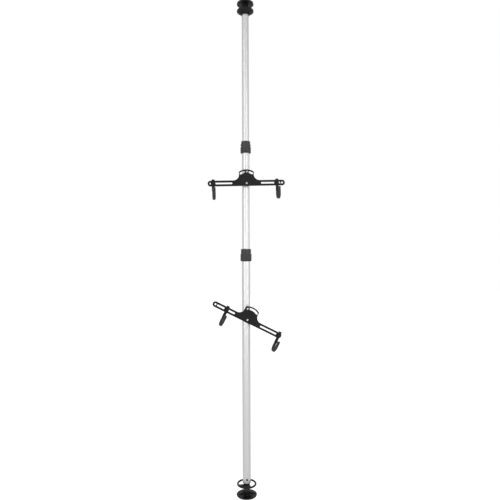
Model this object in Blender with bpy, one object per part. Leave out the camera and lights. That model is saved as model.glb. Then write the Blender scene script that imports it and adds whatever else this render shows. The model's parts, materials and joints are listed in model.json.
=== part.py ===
# Floor-to-ceiling pole stand that carries two bicycles on tilting hook brackets.
# Metres, +Z up. The origin is the middle of the foot's underside, on the pole's axis.
# The upper bracket's arms run along X and its front faces -Y.

from math import acos, asin, atan2, cos, pi, radians, sin, sqrt

import bmesh
import bpy
from mathutils import Euler, Matrix, Vector

# General clearances and facet counts
FIT = 0.0003            # gap between pieces that touch
SLIDE_FIT = 0.0004      # gap between a tube and what slides in it
BALL_FIT = 0.0006       # gap between a ball and its seat
ROUND = 24              # facets round a large piece
SMALL_ROUND = 14        # facets round a small piece
BALL_STEP = radians(20)
EDGE = 0.001            # small chamfer on turned pieces
CUT = 0.01              # how far a cutter runs past what it cuts
SINK = 0.001            # how far a rib, pad or lug is sunk in the body that carries it

# Pole tubes; each one slides in the one below
WALL = 0.0016
LOWER_OD = 0.050
MIDDLE_OD = LOWER_OD - 2 * (WALL + SLIDE_FIT)
TOP_OD = MIDDLE_OD - 2 * (WALL + SLIDE_FIT)
LOWER_LENGTH = 1.400
MIDDLE_LENGTH = 1.016
TOP_LENGTH = 1.0745
MIDDLE_OUT = 0.656              # how far the middle tube stands out of the lower one
TOP_OUT = 0.8185

# Foot
FOOT_R = 0.0622
PAD_SETBACK = 0.0015            # how far a pad's edge is inside its plate's edge
PAD_R = FOOT_R - PAD_SETBACK
PAD_THICK = 0.0032
FOOT_PLATE_BOTTOM = PAD_THICK + FIT
FOOT_RIM = 0.0030
FOOT_BALL_R = 0.011
SEAT_THICK = 0.0016
FOOT_SEAT_R = FOOT_BALL_R + BALL_FIT
SOCKET_R = FOOT_SEAT_R + SEAT_THICK + BALL_FIT
SOCKET_FLOOR = 0.0017           # plate left under the socket
FOOT_BALL_Z = FOOT_PLATE_BOTTOM + SOCKET_FLOOR + SOCKET_R
FOOT_TILT_LIMIT = radians(8)
BOSS_WALL = 0.0082
BOSS_R = SOCKET_R + BOSS_WALL
BOSS_TOP = FOOT_BALL_Z + FOOT_BALL_R
FOOT_RIBS = 6
RIB_THICK = 0.0035
FOOT_RIB_SETBACK = 0.0087       # how far the ribs end inside the foot's edge
FOOT_RIB_R = FOOT_R - FOOT_RIB_SETBACK
FOOT_BOSS_FLARE = 0.004         # how far the boss spreads where it meets the disc
THRUST_CUP_TOP = -0.0045        # below the ball's centre
LINER_TOP = 0.008               # above the ball's centre

# Spindle and handwheel
SPINDLE_R = 0.008
SPINDLE_NECK_R = 0.0055
SPINDLE_NECK = 0.010            # length of the neck above the socket
SPINDLE_SHOULDER_Z = BOSS_TOP + SPINDLE_NECK
SPINDLE_IN_TUBE = 0.120
HUB_GAP = 0.005                 # spindle that shows below the hub
HUB_FLANGE = 0.011
HUB_NECK = 0.013
HUB_BOTTOM = SPINDLE_SHOULDER_Z + HUB_GAP
HUB_STEP = HUB_BOTTOM + HUB_FLANGE
HUB_TOP = HUB_STEP + HUB_NECK
HUB_NECK_R = 0.0195
HUB_FLANGE_OUT = 0.004
HUB_R = HUB_NECK_R + HUB_FLANGE_OUT
RING_OUTER_R = 0.0603
RING_ROD_R = 0.0058
RING_Z = HUB_TOP
WEB_ANGLE = radians(199)
WEB_WIDTH = 0.021
WEB_THICK = 0.008
WEB_DISH = 0.007
HUB_EDGE = 0.002
SPINDLE_SHOULDER = 0.002

# End plug in the lower tube
PLUG_NECK_R = 0.0185
PLUG_NECK = 0.008
PLUG_GAP = 0.003                # spindle that shows between the hub and the plug
PLUG_NECK_BOTTOM = HUB_TOP + PLUG_GAP
PLUG_FLANGE = 0.002
PLUG_DEPTH = 0.034
PLUG_SCREW_RISE = 0.023         # above the tube's lower end
PLUG_SCREW_AZ = radians(-3)
PLUG_SCREW_R = 0.0025
PLUG_HEAD_R = 0.0062
PLUG_HEAD_H = 0.0026
PLUG_SCREW_LENGTH = 0.012
SCREW_FACETS = 12

# Heights that the foot and the tubes give
LOWER_BOTTOM = PLUG_NECK_BOTTOM + PLUG_NECK
SPINDLE_TOP = LOWER_BOTTOM + SPINDLE_IN_TUBE
PLUG_SCREW_Z = LOWER_BOTTOM + PLUG_SCREW_RISE
LOWER_TOP = LOWER_BOTTOM + LOWER_LENGTH
MIDDLE_TOP = LOWER_TOP + MIDDLE_OUT
MIDDLE_BOTTOM = MIDDLE_TOP - MIDDLE_LENGTH
TOP_TOP = MIDDLE_TOP + TOP_OUT
TOP_BOTTOM = TOP_TOP - TOP_LENGTH

# Twist locks
LOCK_NECK_WALL = 0.0024
LOCK_LIP = 0.0035
LOCK_TOP_WALL = 0.003
LOCK_CHAMFER = 0.0012
COLLET_TAPER = 0.0010
COLLET_SLIT = 0.003
GRIP_RIBS = 20
GRIP_RIB_DEPTH = 0.0016
GRIP_INSIDE = FIT + LOCK_NECK_WALL + FIT    # from a tube's outside to its grip's bore
LOWER_GRIP_WALL = 0.0060
LOWER_GRIP_R = LOWER_OD / 2 + GRIP_INSIDE + LOWER_GRIP_WALL
LOWER_GRIP_LENGTH = 0.041
LOWER_GRIP_DROP = 0.005         # grip's upper end below the tube's end
LOWER_CAP_WALL = 0.0057
LOWER_CAP_RISE = 0.0255         # cap's top above the tube's end
UPPER_GRIP_WALL = 0.0059
UPPER_GRIP_R = MIDDLE_OD / 2 + GRIP_INSIDE + UPPER_GRIP_WALL
UPPER_GRIP_LENGTH = 0.034
UPPER_GRIP_DROP = 0.008
UPPER_CAP_WALL = 0.0049
UPPER_CAP_RISE = 0.0265
LOWER_GRIP_Z = (LOWER_TOP - LOWER_GRIP_DROP - LOWER_GRIP_LENGTH, LOWER_TOP - LOWER_GRIP_DROP)
LOWER_CAP_R = LOWER_OD / 2 + FIT + LOWER_CAP_WALL
LOWER_CAP_TOP = LOWER_TOP + LOWER_CAP_RISE
UPPER_GRIP_Z = (MIDDLE_TOP - UPPER_GRIP_DROP - UPPER_GRIP_LENGTH, MIDDLE_TOP - UPPER_GRIP_DROP)
UPPER_CAP_R = MIDDLE_OD / 2 + FIT + UPPER_CAP_WALL
UPPER_CAP_TOP = MIDDLE_TOP + UPPER_CAP_RISE
LUG_OUT = 0.003
LUG_WIDTH = 0.010
LUG_HEIGHT = 0.009
LUG_ABOVE_GRIP = 0.008

# Guide bushes at the inner tubes' lower ends
BUSH_FLANGE = 0.006
BUSH_DEPTH = 0.018
BUSH_WALL = 0.003

# Ceiling cap, ball stud and plate
CAP_SLEEVE_DEPTH = 0.019        # sleeve below the tube's end
CAP_ROOF = 0.0092               # above the tube's end
CAP_SLEEVE_WALL = 0.0042
CAP_RIM_OUT = 0.0257            # rim beyond the sleeve
CAP_RIM_R = TOP_OD / 2 + FIT + CAP_SLEEVE_WALL + CAP_RIM_OUT
CAP_RIM = 0.007
CAP_RIM_EDGE = 0.004            # flat ring under the rim
CAP_CONE = 0.010
CAP_RIB_DROP = 0.007            # how far the ribs run down the sleeve from the cone
CAP_RIB_SETBACK = 0.0052
CAP_BOTTOM = TOP_TOP - CAP_SLEEVE_DEPTH
CAP_TOP = TOP_TOP + FIT + CAP_ROOF
CAP_RIM_BOTTOM = CAP_TOP - CAP_RIM
CAP_CONE_BOTTOM = CAP_RIM_BOTTOM - CAP_CONE
CAP_RIBS = 8
CAP_RIB_R = CAP_RIM_R - CAP_RIB_SETBACK
CAP_RIB_BOTTOM = CAP_CONE_BOTTOM - CAP_RIB_DROP
STUD_BALL_R = 0.016
STUD_COLLAR = 0.002             # from the cap to the underside of the ball
STUD_BALL_Z = CAP_TOP + STUD_COLLAR + STUD_BALL_R
STUD_NECK_R = 0.0075
STUD_STEM_R = 0.005
STUD_LINER = 0.00095
STUD_NUT_R = 0.0085
STUD_NUT_H = 0.007
STUD_TAIL = 0.012
STUD_LINER_ZONE = (-0.002, 0.011)   # measured from the ball's centre
STUD_SEAT_R = STUD_BALL_R + BALL_FIT
CUP_IN = STUD_SEAT_R + STUD_LINER + BALL_FIT
CUP_WALL = 0.00145
CUP_R = CUP_IN + CUP_WALL
CUP_BELOW = 0.005
CEILING_R = 0.0510
CEILING_ABOVE_CUP = 0.00085     # plate's underside above the cup's hollow
CEILING_PLATE_BOTTOM = STUD_BALL_Z + CUP_IN + CEILING_ABOVE_CUP
CEILING_PLATE_THICK = 0.005
CEILING_PAD_R = CEILING_R - PAD_SETBACK
CEILING_PAD_THICK = 0.0037

# Bracket clamp round the tube; both clamps have the larger tube's ears and face
CLAMP_LINER = 0.002
CLAMP_WALL = 0.006
CLAMP_OUTER = LOWER_OD / 2 + FIT + CLAMP_LINER + FIT + CLAMP_WALL
CLAMP_HEIGHT = 0.040
BLOCK_DROP = 0.010              # the pivot block reaches below the ring
CLAMP_FACE_OUT = 0.0009         # face in front of the ring
CLAMP_FACE_Y = -(CLAMP_OUTER + CLAMP_FACE_OUT)
CLAMP_SPLIT = 0.0012
EAR_LOW = 0.008                 # above the ring's lower edge
EAR_HEIGHT = 0.022
EAR_Z = (EAR_LOW, EAR_LOW + EAR_HEIGHT)
EAR_THICK = 0.011
CLAMP_BOLT_ASIDE = 0.0069       # bolt's middle beyond the ring
EAR_LAND = 0.0065               # ear beyond the bolt's middle
CLAMP_BOLT_OUT = CLAMP_OUTER + CLAMP_BOLT_ASIDE
EAR_OUT = CLAMP_BOLT_OUT + EAR_LAND
TAB_HALF = 0.018
TAB_THICK = 0.005
TAB_TIP_R = 0.011
CLAMP_BOLT_R = 0.0038
CLAMP_HEAD_R = 0.006
CLAMP_HEAD_H = 0.006
CLAMP_BOLT_TIP = 0.002          # how far the bolt's end stands out of the front half
CLAMP_ARC_STEPS = 16
LINER_SLIT = 0.003
SPACER_R = 0.014
SPACER_THICK = 0.0029
LOCK_PAD_R = 0.009

# Bracket plate
PLATE_THICK = 0.004
PLATE_Y = CLAMP_FACE_Y - FIT - SPACER_THICK - FIT - PLATE_THICK / 2
ARM_HALF = 0.0172
ARM_END = 0.2185                # centre of the end hole and of the round end
END_HOLE_R = 0.006
END_LAND = 0.005                # between the slot and the end hole
SLOT_START = 0.087
SLOT_END = ARM_END - END_HOLE_R - END_LAND
SLOT_WIDTH = 0.010
ARC_R = 0.068
ARC_HALF = radians(30.5)
ARC_WIDTH = 0.012
DOME_LAND = 0.0088              # between the arc slot and the dome's edge
DOME_R = ARC_R + ARC_WIDTH / 2 + DOME_LAND
DOME_CORNER_R = 0.011
DOME_HALF = radians(29)
DOME_FILLET_R = 0.036
PIVOT_R = 0.004
PIVOT_HEAD_R = 0.0068
PIVOT_HEAD_H = 0.004
PIVOT_TIP = 0.0012              # pivot bolt's end in front of the clamp's bore
LOCK_BOLT_R = 0.0038
LOCK_BOLT_TIP = 0.0005          # lock bolt's end behind the tab
LOCK_HEAD_R = 0.0052
LOCK_HEAD_H = 0.0035
LOCK_WASHER_R = 0.012
LOCK_WASHER_THICK = 0.0025

# Where each bracket sits and how it is turned at rest
UPPER_PIVOT_DROP = 0.2325       # below the middle tube's upper end
LOWER_PIVOT_RISE = 0.9965       # above the lower tube's lower end
UPPER_PIVOT_Z = MIDDLE_TOP - UPPER_PIVOT_DROP
LOWER_PIVOT_Z = LOWER_BOTTOM + LOWER_PIVOT_RISE
UPPER_YAW = radians(0)
LOWER_YAW = radians(3)
UPPER_TILT = radians(2)         # positive lifts the right end, seen from the front
LOWER_TILT = radians(-27.3)
# Hooks stand in from the slot's outer end, but the lower right one is in the end hole
UPPER_HOOK_RIGHT_IN = 0.0165
LOWER_HOOK_LEFT_IN = 0.0605
STUD_REACH = SLOT_END - SLOT_WIDTH / 2
UPPER_HOOKS = (-STUD_REACH, STUD_REACH - UPPER_HOOK_RIGHT_IN)
LOWER_HOOKS = (-STUD_REACH + LOWER_HOOK_LEFT_IN, ARM_END)

# Hooks; heights are measured from the stud in the arm's middle
BAR_WIDTH = 0.018
BAR_THICK = 0.004
LIP_GAP = 0.0033                # between the arm's upper edge and the lip
BAR_TOP = ARM_HALF + LIP_GAP + BAR_THICK / 2
LIP_PAST_PLATE = 0.0047         # how far the lip reaches behind the plate
LIP_BACK = BAR_THICK / 2 + FIT + PLATE_THICK + LIP_PAST_PLATE
LIP_BEND = 0.003
CORE_WIDTH = 0.012
BAR_SHOULDER = -0.047           # where the bar starts to narrow
SHOULDER_LENGTH = 0.004
BAR_TAPER = (BAR_SHOULDER, BAR_SHOULDER - SHOULDER_LENGTH)
SLEEVE_GAP = 0.0005             # between the shoulder and the sleeve
SLEEVE_TOP = BAR_TAPER[1] - SLEEVE_GAP
SLEEVE_WIDTH = 0.0165
SLEEVE_THICK = 0.011
SLEEVE_END = 0.004
SLEEVE_CORNER = 0.004
HOOK_BEND_R = 0.029
HOOK_STRAIGHT = 0.015           # sleeve's straight part above the bend
HOOK_BEND_Z = SLEEVE_TOP - HOOK_STRAIGHT
HOOK_TIP_RISE = 0.0325          # bar's tip above the bend's centre
HOOK_BEND_STEPS = 12
KNOB_R = 0.016
KNOB_LOBES = 7
KNOB_LOBE_DEPTH = 0.002
KNOB_THICK = 0.010
KNOB_COLLAR_R = 0.010
KNOB_COLLAR_H = 0.003
STUD_R = 0.004
STUD_PROUD = 0.002              # how far the stud stands out in front of the hook

BLACK_PLASTIC = ("black_plastic", (0.030, 0.030, 0.032), 0.45, 0.0)
CHARCOAL_PLASTIC = ("charcoal_plastic", (0.075, 0.078, 0.085), 0.5, 0.0)
BLACK_RUBBER = ("black_rubber", (0.020, 0.020, 0.021), 0.8, 0.0)
GREY_RUBBER = ("grey_rubber", (0.10, 0.10, 0.105), 0.7, 0.0)
ALUMINIUM = ("anodised_aluminium", (0.80, 0.80, 0.81), 0.28, 1.0)
BLACK_STEEL = ("powder_coated_steel", (0.025, 0.025, 0.027), 0.5, 0.0)
ZINC_STEEL = ("zinc_plated_steel", (0.62, 0.63, 0.65), 0.3, 1.0)
NYLON = ("white_nylon", (0.75, 0.74, 0.70), 0.5, 0.0)


def clear_scene():
    for obj in list(bpy.data.objects):
        bpy.data.objects.remove(obj, do_unlink=True)


def make_material(name, finish):
    look, colour, roughness, metallic = finish
    material = bpy.data.materials.new(name + "_" + look)
    material.use_nodes = True
    shader = material.node_tree.nodes["Principled BSDF"]
    shader.inputs["Base Color"].default_value = (*colour, 1.0)
    shader.inputs["Roughness"].default_value = roughness
    shader.inputs["Metallic"].default_value = metallic
    return material


def make_empty(name, parent=None, location=(0, 0, 0), rotation=(0, 0, 0)):
    empty = bpy.data.objects.new(name, None)
    bpy.context.scene.collection.objects.link(empty)
    empty.parent = parent
    empty.location = location
    empty.rotation_euler = Euler(rotation)
    return empty


def make_object(name, bm, finish=None, parent=None, location=(0, 0, 0), rotation=(0, 0, 0)):
    """Turn a bmesh into an object; one without a finish is a cutter."""
    bmesh.ops.remove_doubles(bm, verts=bm.verts, dist=1e-7)
    bmesh.ops.recalc_face_normals(bm, faces=bm.faces)
    mesh = bpy.data.meshes.new(name)
    bm.to_mesh(mesh)
    bm.free()
    obj = bpy.data.objects.new(name, mesh)
    bpy.context.scene.collection.objects.link(obj)
    obj.parent = parent
    obj.location = location
    obj.rotation_euler = Euler(rotation)
    if finish is None:
        obj.hide_render = True
        obj.display_type = "WIRE"
    else:
        mesh.materials.append(make_material(name, finish))
        mesh.shade_smooth()
        mesh.set_sharp_from_angle(angle=radians(35))
    return obj


def boolean(obj, tool, operation="DIFFERENCE"):
    modifier = obj.modifiers.new(operation.lower() + "_" + tool.name, "BOOLEAN")
    modifier.operation = operation
    modifier.solver = "EXACT"
    modifier.object = tool


def join(*parts):
    """Gather several bmeshes in one, as separate solids."""
    whole = bmesh.new()
    for part in parts:
        mesh = bpy.data.meshes.new("joined")
        part.to_mesh(mesh)
        part.free()
        whole.from_mesh(mesh)
        bpy.data.meshes.remove(mesh)
    return whole


def arc(centre, radius, start, end, steps):
    """Points of an arc in a plane, both ends included."""
    angles = [start + (end - start) * i / steps for i in range(steps + 1)]
    return [(centre[0] + radius * cos(a), centre[1] + radius * sin(a)) for a in angles]


def turned(profile, steps=ROUND, matrix=None):
    """Spin a closed (radius, height) profile round Z; points on the axis close it."""
    bm = bmesh.new()
    verts = [bm.verts.new((r, 0, z)) for r, z in profile]
    edges = []
    for i, vert in enumerate(verts):
        after = verts[(i + 1) % len(verts)]
        if vert.co.x > 1e-9 or after.co.x > 1e-9:
            edges.append(bm.edges.new((vert, after)))
    bmesh.ops.spin(bm, geom=edges, cent=(0, 0, 0), axis=(0, 0, 1), angle=2 * pi, steps=steps,
                   use_merge=True)
    bmesh.ops.remove_doubles(bm, verts=bm.verts, dist=1e-6)
    bmesh.ops.dissolve_degenerate(bm, edges=bm.edges, dist=1e-7)
    if matrix is not None:
        bm.transform(matrix)
    return bm


def rod(radius, z0, z1, steps=SMALL_ROUND, matrix=None):
    return turned([(0, z0), (radius, z0), (radius, z1), (0, z1)], steps, matrix)


def prism(outline, z0, z1, matrix=None):
    """Extrude a closed outline in the XY plane from z0 to z1."""
    bm = bmesh.new()
    face = bm.faces.new([bm.verts.new((x, y, z0)) for x, y in outline])
    top = bmesh.ops.extrude_face_region(bm, geom=[face])["geom"]
    bmesh.ops.translate(bm, vec=(0, 0, z1 - z0), verts=[v for v in top if isinstance(v, bmesh.types.BMVert)])
    if matrix is not None:
        bm.transform(matrix)
    return bm


def box(low, high, matrix=None):
    outline = [(low[0], low[1]), (high[0], low[1]), (high[0], high[1]), (low[0], high[1])]
    return prism(outline, low[2], high[2], matrix)


# Takes the XY plane of an outline to a plate that faces -Y, x to the right and z up
FACE_FRONT = Matrix(((1, 0, 0, 0), (0, 0, 1, 0), (0, 1, 0, 0), (0, 0, 0, 1)))
# Takes a rod along Z to one along Y
ALONG_Y = Matrix.Rotation(-pi / 2, 4, "X")


def facing(azimuth, centre=(0, 0, 0)):
    """Frame whose Z points out from the pole's axis at an azimuth measured from -Y towards +X."""
    outward = Matrix.Rotation(azimuth, 4, "Z") @ Matrix.Rotation(pi / 2, 4, "X")
    return Matrix.Translation(centre) @ outward


def sweep(path, sections):
    """Skin closed sections along a path in the YZ plane; a section is a list of (side, out)."""
    bm = bmesh.new()
    rings = []
    for i, (y, z) in enumerate(path):
        before = path[max(i - 1, 0)]
        after = path[min(i + 1, len(path) - 1)]
        tangent = Vector((0, after[0] - before[0], after[1] - before[1])).normalized()
        out = Vector((0, -tangent.z, tangent.y))
        place = Vector((0, y, z))
        rings.append([bm.verts.new(place + Vector((1, 0, 0)) * s + out * o) for s, o in sections[i]])
    for first, second in zip(rings, rings[1:]):
        for i in range(len(first)):
            j = (i + 1) % len(first)
            bm.faces.new((first[i], first[j], second[j], second[i]))
    bm.faces.new(rings[0])
    bm.faces.new(rings[-1])
    return bm


def ball_profile(radius, centre_z, low, high):
    """Points of a ball's outline from angle low to high, measured from its equator."""
    steps = max(2, round((high - low) / BALL_STEP))
    return [(max(x, 0.0), z) for x, z in arc((0, centre_z), radius, low, high, steps)]


def shell_zone(inner, outer, centre_z, low_z, high_z):
    """Closed profile of a spherical shell between two heights above its centre."""
    inside = ball_profile(inner, centre_z, asin(low_z / inner), asin(high_z / inner))
    outside = ball_profile(outer, centre_z, asin(low_z / outer), asin(high_z / outer))
    return outside + inside[::-1]


def rib_ring(count, inner_r, outer_r, thick, low, inner_top, outer_top):
    """Radial ribs whose upper edge slopes from inner_top to outer_top."""
    ribs = []
    for i in range(count):
        bm = bmesh.new()
        corners = [(inner_r, low), (outer_r, low), (outer_r, outer_top), (inner_r, inner_top)]
        face = bm.faces.new([bm.verts.new((x, -thick / 2, z)) for x, z in corners])
        side = bmesh.ops.extrude_face_region(bm, geom=[face])["geom"]
        moved = [v for v in side if isinstance(v, bmesh.types.BMVert)]
        bmesh.ops.translate(bm, vec=(0, thick, 0), verts=moved)
        bm.transform(Matrix.Rotation(2 * pi * i / count, 4, "Z"))
        ribs.append(bm)
    return join(*ribs)


def build_foot(tilt_x, tilt_y):
    plate_bottom = FOOT_PLATE_BOTTOM
    rim_top = plate_bottom + FOOT_RIM
    origin = (0, 0, -FOOT_BALL_Z)

    make_object("foot_pad", turned([(0, 0), (PAD_R - EDGE, 0), (PAD_R, EDGE), (PAD_R, PAD_THICK),
                                    (0, PAD_THICK)]), BLACK_RUBBER, tilt_y, origin)

    bowl = ball_profile(SOCKET_R, FOOT_BALL_Z, -pi / 2, -radians(2))
    split = bowl[-1][1]
    plate = make_object("foot_plate", turned(
        [(0, plate_bottom), (FOOT_R - EDGE, plate_bottom), (FOOT_R, plate_bottom + EDGE),
         (FOOT_R, rim_top - EDGE), (FOOT_R - EDGE, rim_top), (BOSS_R + FOOT_BOSS_FLARE, rim_top + 1.5 * EDGE),
         (BOSS_R, rim_top + FOOT_BOSS_FLARE), (BOSS_R, split)] + bowl[::-1]), BLACK_PLASTIC, tilt_y, origin)
    ribs = make_object("foot_rib_tool", rib_ring(FOOT_RIBS, BOSS_R - 2 * SINK, FOOT_RIB_R, RIB_THICK,
                                                 rim_top - 1.5 * SINK, split - 2 * EDGE, rim_top + EDGE),
                       None, tilt_y, origin)
    boolean(plate, ribs, "UNION")

    dome = ball_profile(SOCKET_R, FOOT_BALL_Z, 0, asin((BOSS_TOP - FOOT_BALL_Z) / SOCKET_R))
    cap_bottom = split + FIT
    dome[0] = (dome[0][0], cap_bottom)
    make_object("socket_cap", turned(
        dome + [(BOSS_R - 2 * EDGE, BOSS_TOP), (BOSS_R, BOSS_TOP - 2 * EDGE), (BOSS_R, cap_bottom)]),
        BLACK_PLASTIC, tilt_y, origin)

    gap = (FOOT_SEAT_R + SEAT_THICK) * sin(FOOT_TILT_LIMIT) + FIT
    make_object("thrust_cup", turned(
        ball_profile(FOOT_SEAT_R + SEAT_THICK, FOOT_BALL_Z, -pi / 2, asin(THRUST_CUP_TOP / (FOOT_SEAT_R + SEAT_THICK)))
        + ball_profile(FOOT_SEAT_R, FOOT_BALL_Z, -pi / 2, asin(THRUST_CUP_TOP / FOOT_SEAT_R))[::-1]),
        NYLON, tilt_x.parent)
    make_object("foot_liner", turned(
        shell_zone(FOOT_SEAT_R, FOOT_SEAT_R + SEAT_THICK, FOOT_BALL_Z, THRUST_CUP_TOP + gap, LINER_TOP)),
        NYLON, tilt_x, origin)


def build_handwheel(spin):
    ball = ball_profile(FOOT_BALL_R, FOOT_BALL_Z, -pi / 2, acos(SPINDLE_NECK_R / FOOT_BALL_R))
    make_object("foot_spindle", turned(ball + [
        (SPINDLE_NECK_R, SPINDLE_SHOULDER_Z - SPINDLE_SHOULDER), (SPINDLE_R, SPINDLE_SHOULDER_Z),
        (SPINDLE_R, SPINDLE_TOP - EDGE), (SPINDLE_R - EDGE, SPINDLE_TOP), (0, SPINDLE_TOP)]),
        ZINC_STEEL, spin)

    bore = SPINDLE_R + FIT
    wheel = make_object("handwheel", turned([
        (bore, HUB_BOTTOM), (HUB_R - HUB_EDGE, HUB_BOTTOM), (HUB_R, HUB_BOTTOM + HUB_EDGE),
        (HUB_R, HUB_STEP - HUB_EDGE), (HUB_NECK_R, HUB_STEP + HUB_EDGE), (HUB_NECK_R, HUB_TOP),
        (bore, HUB_TOP)]), BLACK_PLASTIC, spin)
    ring_r = RING_OUTER_R - RING_ROD_R
    ring = make_object("wheel_ring_tool", turned(
        arc((ring_r, RING_Z), RING_ROD_R, 0, 2 * pi, 8)[:-1]), None, spin)
    rise = Matrix.Rotation(-atan2(WEB_DISH, ring_r - HUB_NECK_R), 4, "Y")
    web = make_object("wheel_web_tool", box(
        (-(ring_r - HUB_NECK_R) - 3 * SINK, -WEB_WIDTH / 2, -WEB_THICK / 2),
        (0, WEB_WIDTH / 2, WEB_THICK / 2),
        Matrix.Rotation(WEB_ANGLE, 4, "Z") @ Matrix.Translation((ring_r, 0, RING_Z)) @ rise), None, spin)
    boolean(wheel, ring, "UNION")
    boolean(wheel, web, "UNION")


def build_lower_tube(base):
    inner = LOWER_OD / 2 - WALL
    plug_r = inner - FIT
    flange_top = LOWER_BOTTOM - FIT
    plug_top = LOWER_BOTTOM + PLUG_DEPTH
    tube = make_object("lower_tube", turned([
        (inner, LOWER_BOTTOM), (LOWER_OD / 2, LOWER_BOTTOM), (LOWER_OD / 2, LOWER_TOP),
        (inner, LOWER_TOP)]), ALUMINIUM, base)
    bore = SPINDLE_R + SLIDE_FIT
    plug = make_object("end_plug", turned([
        (bore, PLUG_NECK_BOTTOM), (PLUG_NECK_R, PLUG_NECK_BOTTOM),
        (PLUG_NECK_R, flange_top - PLUG_FLANGE), (LOWER_OD / 2 - FIT, flange_top - PLUG_FLANGE),
        (LOWER_OD / 2 - FIT, flange_top), (plug_r, flange_top), (plug_r, plug_top),
        (bore, plug_top)]), BLACK_PLASTIC, base)

    place = facing(PLUG_SCREW_AZ, (0, 0, PLUG_SCREW_Z))
    seat = LOWER_OD / 2 + FIT
    tip = seat - PLUG_SCREW_LENGTH
    make_object("plug_screw", turned([
        (0, tip), (PLUG_SCREW_R, tip), (PLUG_SCREW_R, seat), (PLUG_HEAD_R, seat),
        (PLUG_HEAD_R, seat + PLUG_HEAD_H * 0.4), (PLUG_HEAD_R * 0.75, seat + PLUG_HEAD_H),
        (0, seat + PLUG_HEAD_H)], SCREW_FACETS, place), BLACK_STEEL, base)
    drill = make_object("plug_drill", rod(
        PLUG_SCREW_R + FIT, tip - FIT, seat + PLUG_HEAD_H, SCREW_FACETS, place), None, base)
    boolean(tube, drill)
    boolean(plug, drill)


def grip_outline(radius):
    """Ribbed outline of a grip: each rib is a raised flat between two valleys."""
    points = []
    for i in range(GRIP_RIBS):
        for share, depth in ((-0.28, 0), (0.28, 0), (0.36, GRIP_RIB_DEPTH), (0.64, GRIP_RIB_DEPTH)):
            angle = 2 * pi * (i + share) / GRIP_RIBS
            points.append(((radius - depth) * cos(angle), (radius - depth) * sin(angle)))
    return points


def build_lock(prefix, base, turn, outer_od, inner_od, tube_top, grip_r, grip_z, cap_r, cap_top, lugs):
    """Twist lock: a body fixed on the outer tube, a ribbed grip that turns on it, and a collet."""
    sleeve_r = outer_od / 2 + FIT
    neck_r = sleeve_r + LOCK_NECK_WALL
    step = tube_top + FIT
    lip_bottom = cap_top - LOCK_TOP_WALL
    top_bore = inner_od / 2 + SLIDE_FIT
    body = make_object(prefix + "_lock_body", turned([
        (sleeve_r, grip_z[0] - LOCK_LIP), (grip_r - 0.004, grip_z[0] - LOCK_LIP),
        (grip_r - 0.003, grip_z[0] - FIT), (neck_r, grip_z[0] - FIT), (neck_r, grip_z[1] + FIT),
        (cap_r, grip_z[1] + FIT), (cap_r, cap_top - LOCK_CHAMFER), (cap_r - LOCK_CHAMFER, cap_top),
        (top_bore, cap_top), (top_bore, lip_bottom), (sleeve_r - COLLET_TAPER, lip_bottom),
        (sleeve_r, step)]), CHARCOAL_PLASTIC, base)
    if lugs:
        low = grip_z[1] + LUG_ABOVE_GRIP
        tools = [box((side * cap_r - LUG_OUT, -LUG_WIDTH / 2, low),
                     (side * cap_r + LUG_OUT, LUG_WIDTH / 2, low + LUG_HEIGHT)) for side in (-1, 1)]
        boolean(body, make_object(prefix + "_lug_tool", join(*tools), None, base), "UNION")

    grip = make_object(prefix + "_lock_grip", prism(grip_outline(grip_r), grip_z[0], grip_z[1]),
                       CHARCOAL_PLASTIC, turn)
    bore = make_object(prefix + "_grip_bore", rod(neck_r + FIT, grip_z[0] - CUT, grip_z[1] + CUT, ROUND),
                       None, turn)
    boolean(grip, bore)

    collet_in = inner_od / 2 + FIT
    low = step + FIT
    high = lip_bottom - FIT
    collet = make_object(prefix + "_collet", turned([
        (collet_in, low), (sleeve_r - FIT, low), (sleeve_r - FIT - COLLET_TAPER, high),
        (collet_in, high)]), NYLON, base)
    slit = make_object(prefix + "_slit_tool", box(
        (0, -COLLET_SLIT / 2, low - CUT), (outer_od, COLLET_SLIT / 2, high + CUT)), None, base)
    boolean(collet, slit)


def build_inner_tube(name, base, od, outer_od, bottom, top):
    """Sliding tube with the bush that guides its lower end in the tube outside it."""
    inner = od / 2 - WALL
    make_object(name + "_tube", turned([
        (inner, bottom), (od / 2, bottom), (od / 2, top), (inner, top)]), ALUMINIUM, base)
    flange_r = outer_od / 2 - WALL - FIT
    plug_r = inner - FIT
    make_object(name + "_guide_bush", turned([
        (plug_r - BUSH_WALL, bottom - FIT - BUSH_FLANGE), (flange_r, bottom - FIT - BUSH_FLANGE),
        (flange_r, bottom - FIT), (plug_r, bottom - FIT), (plug_r, bottom + BUSH_DEPTH),
        (plug_r - BUSH_WALL, bottom + BUSH_DEPTH)]), BLACK_PLASTIC, base)


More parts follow.
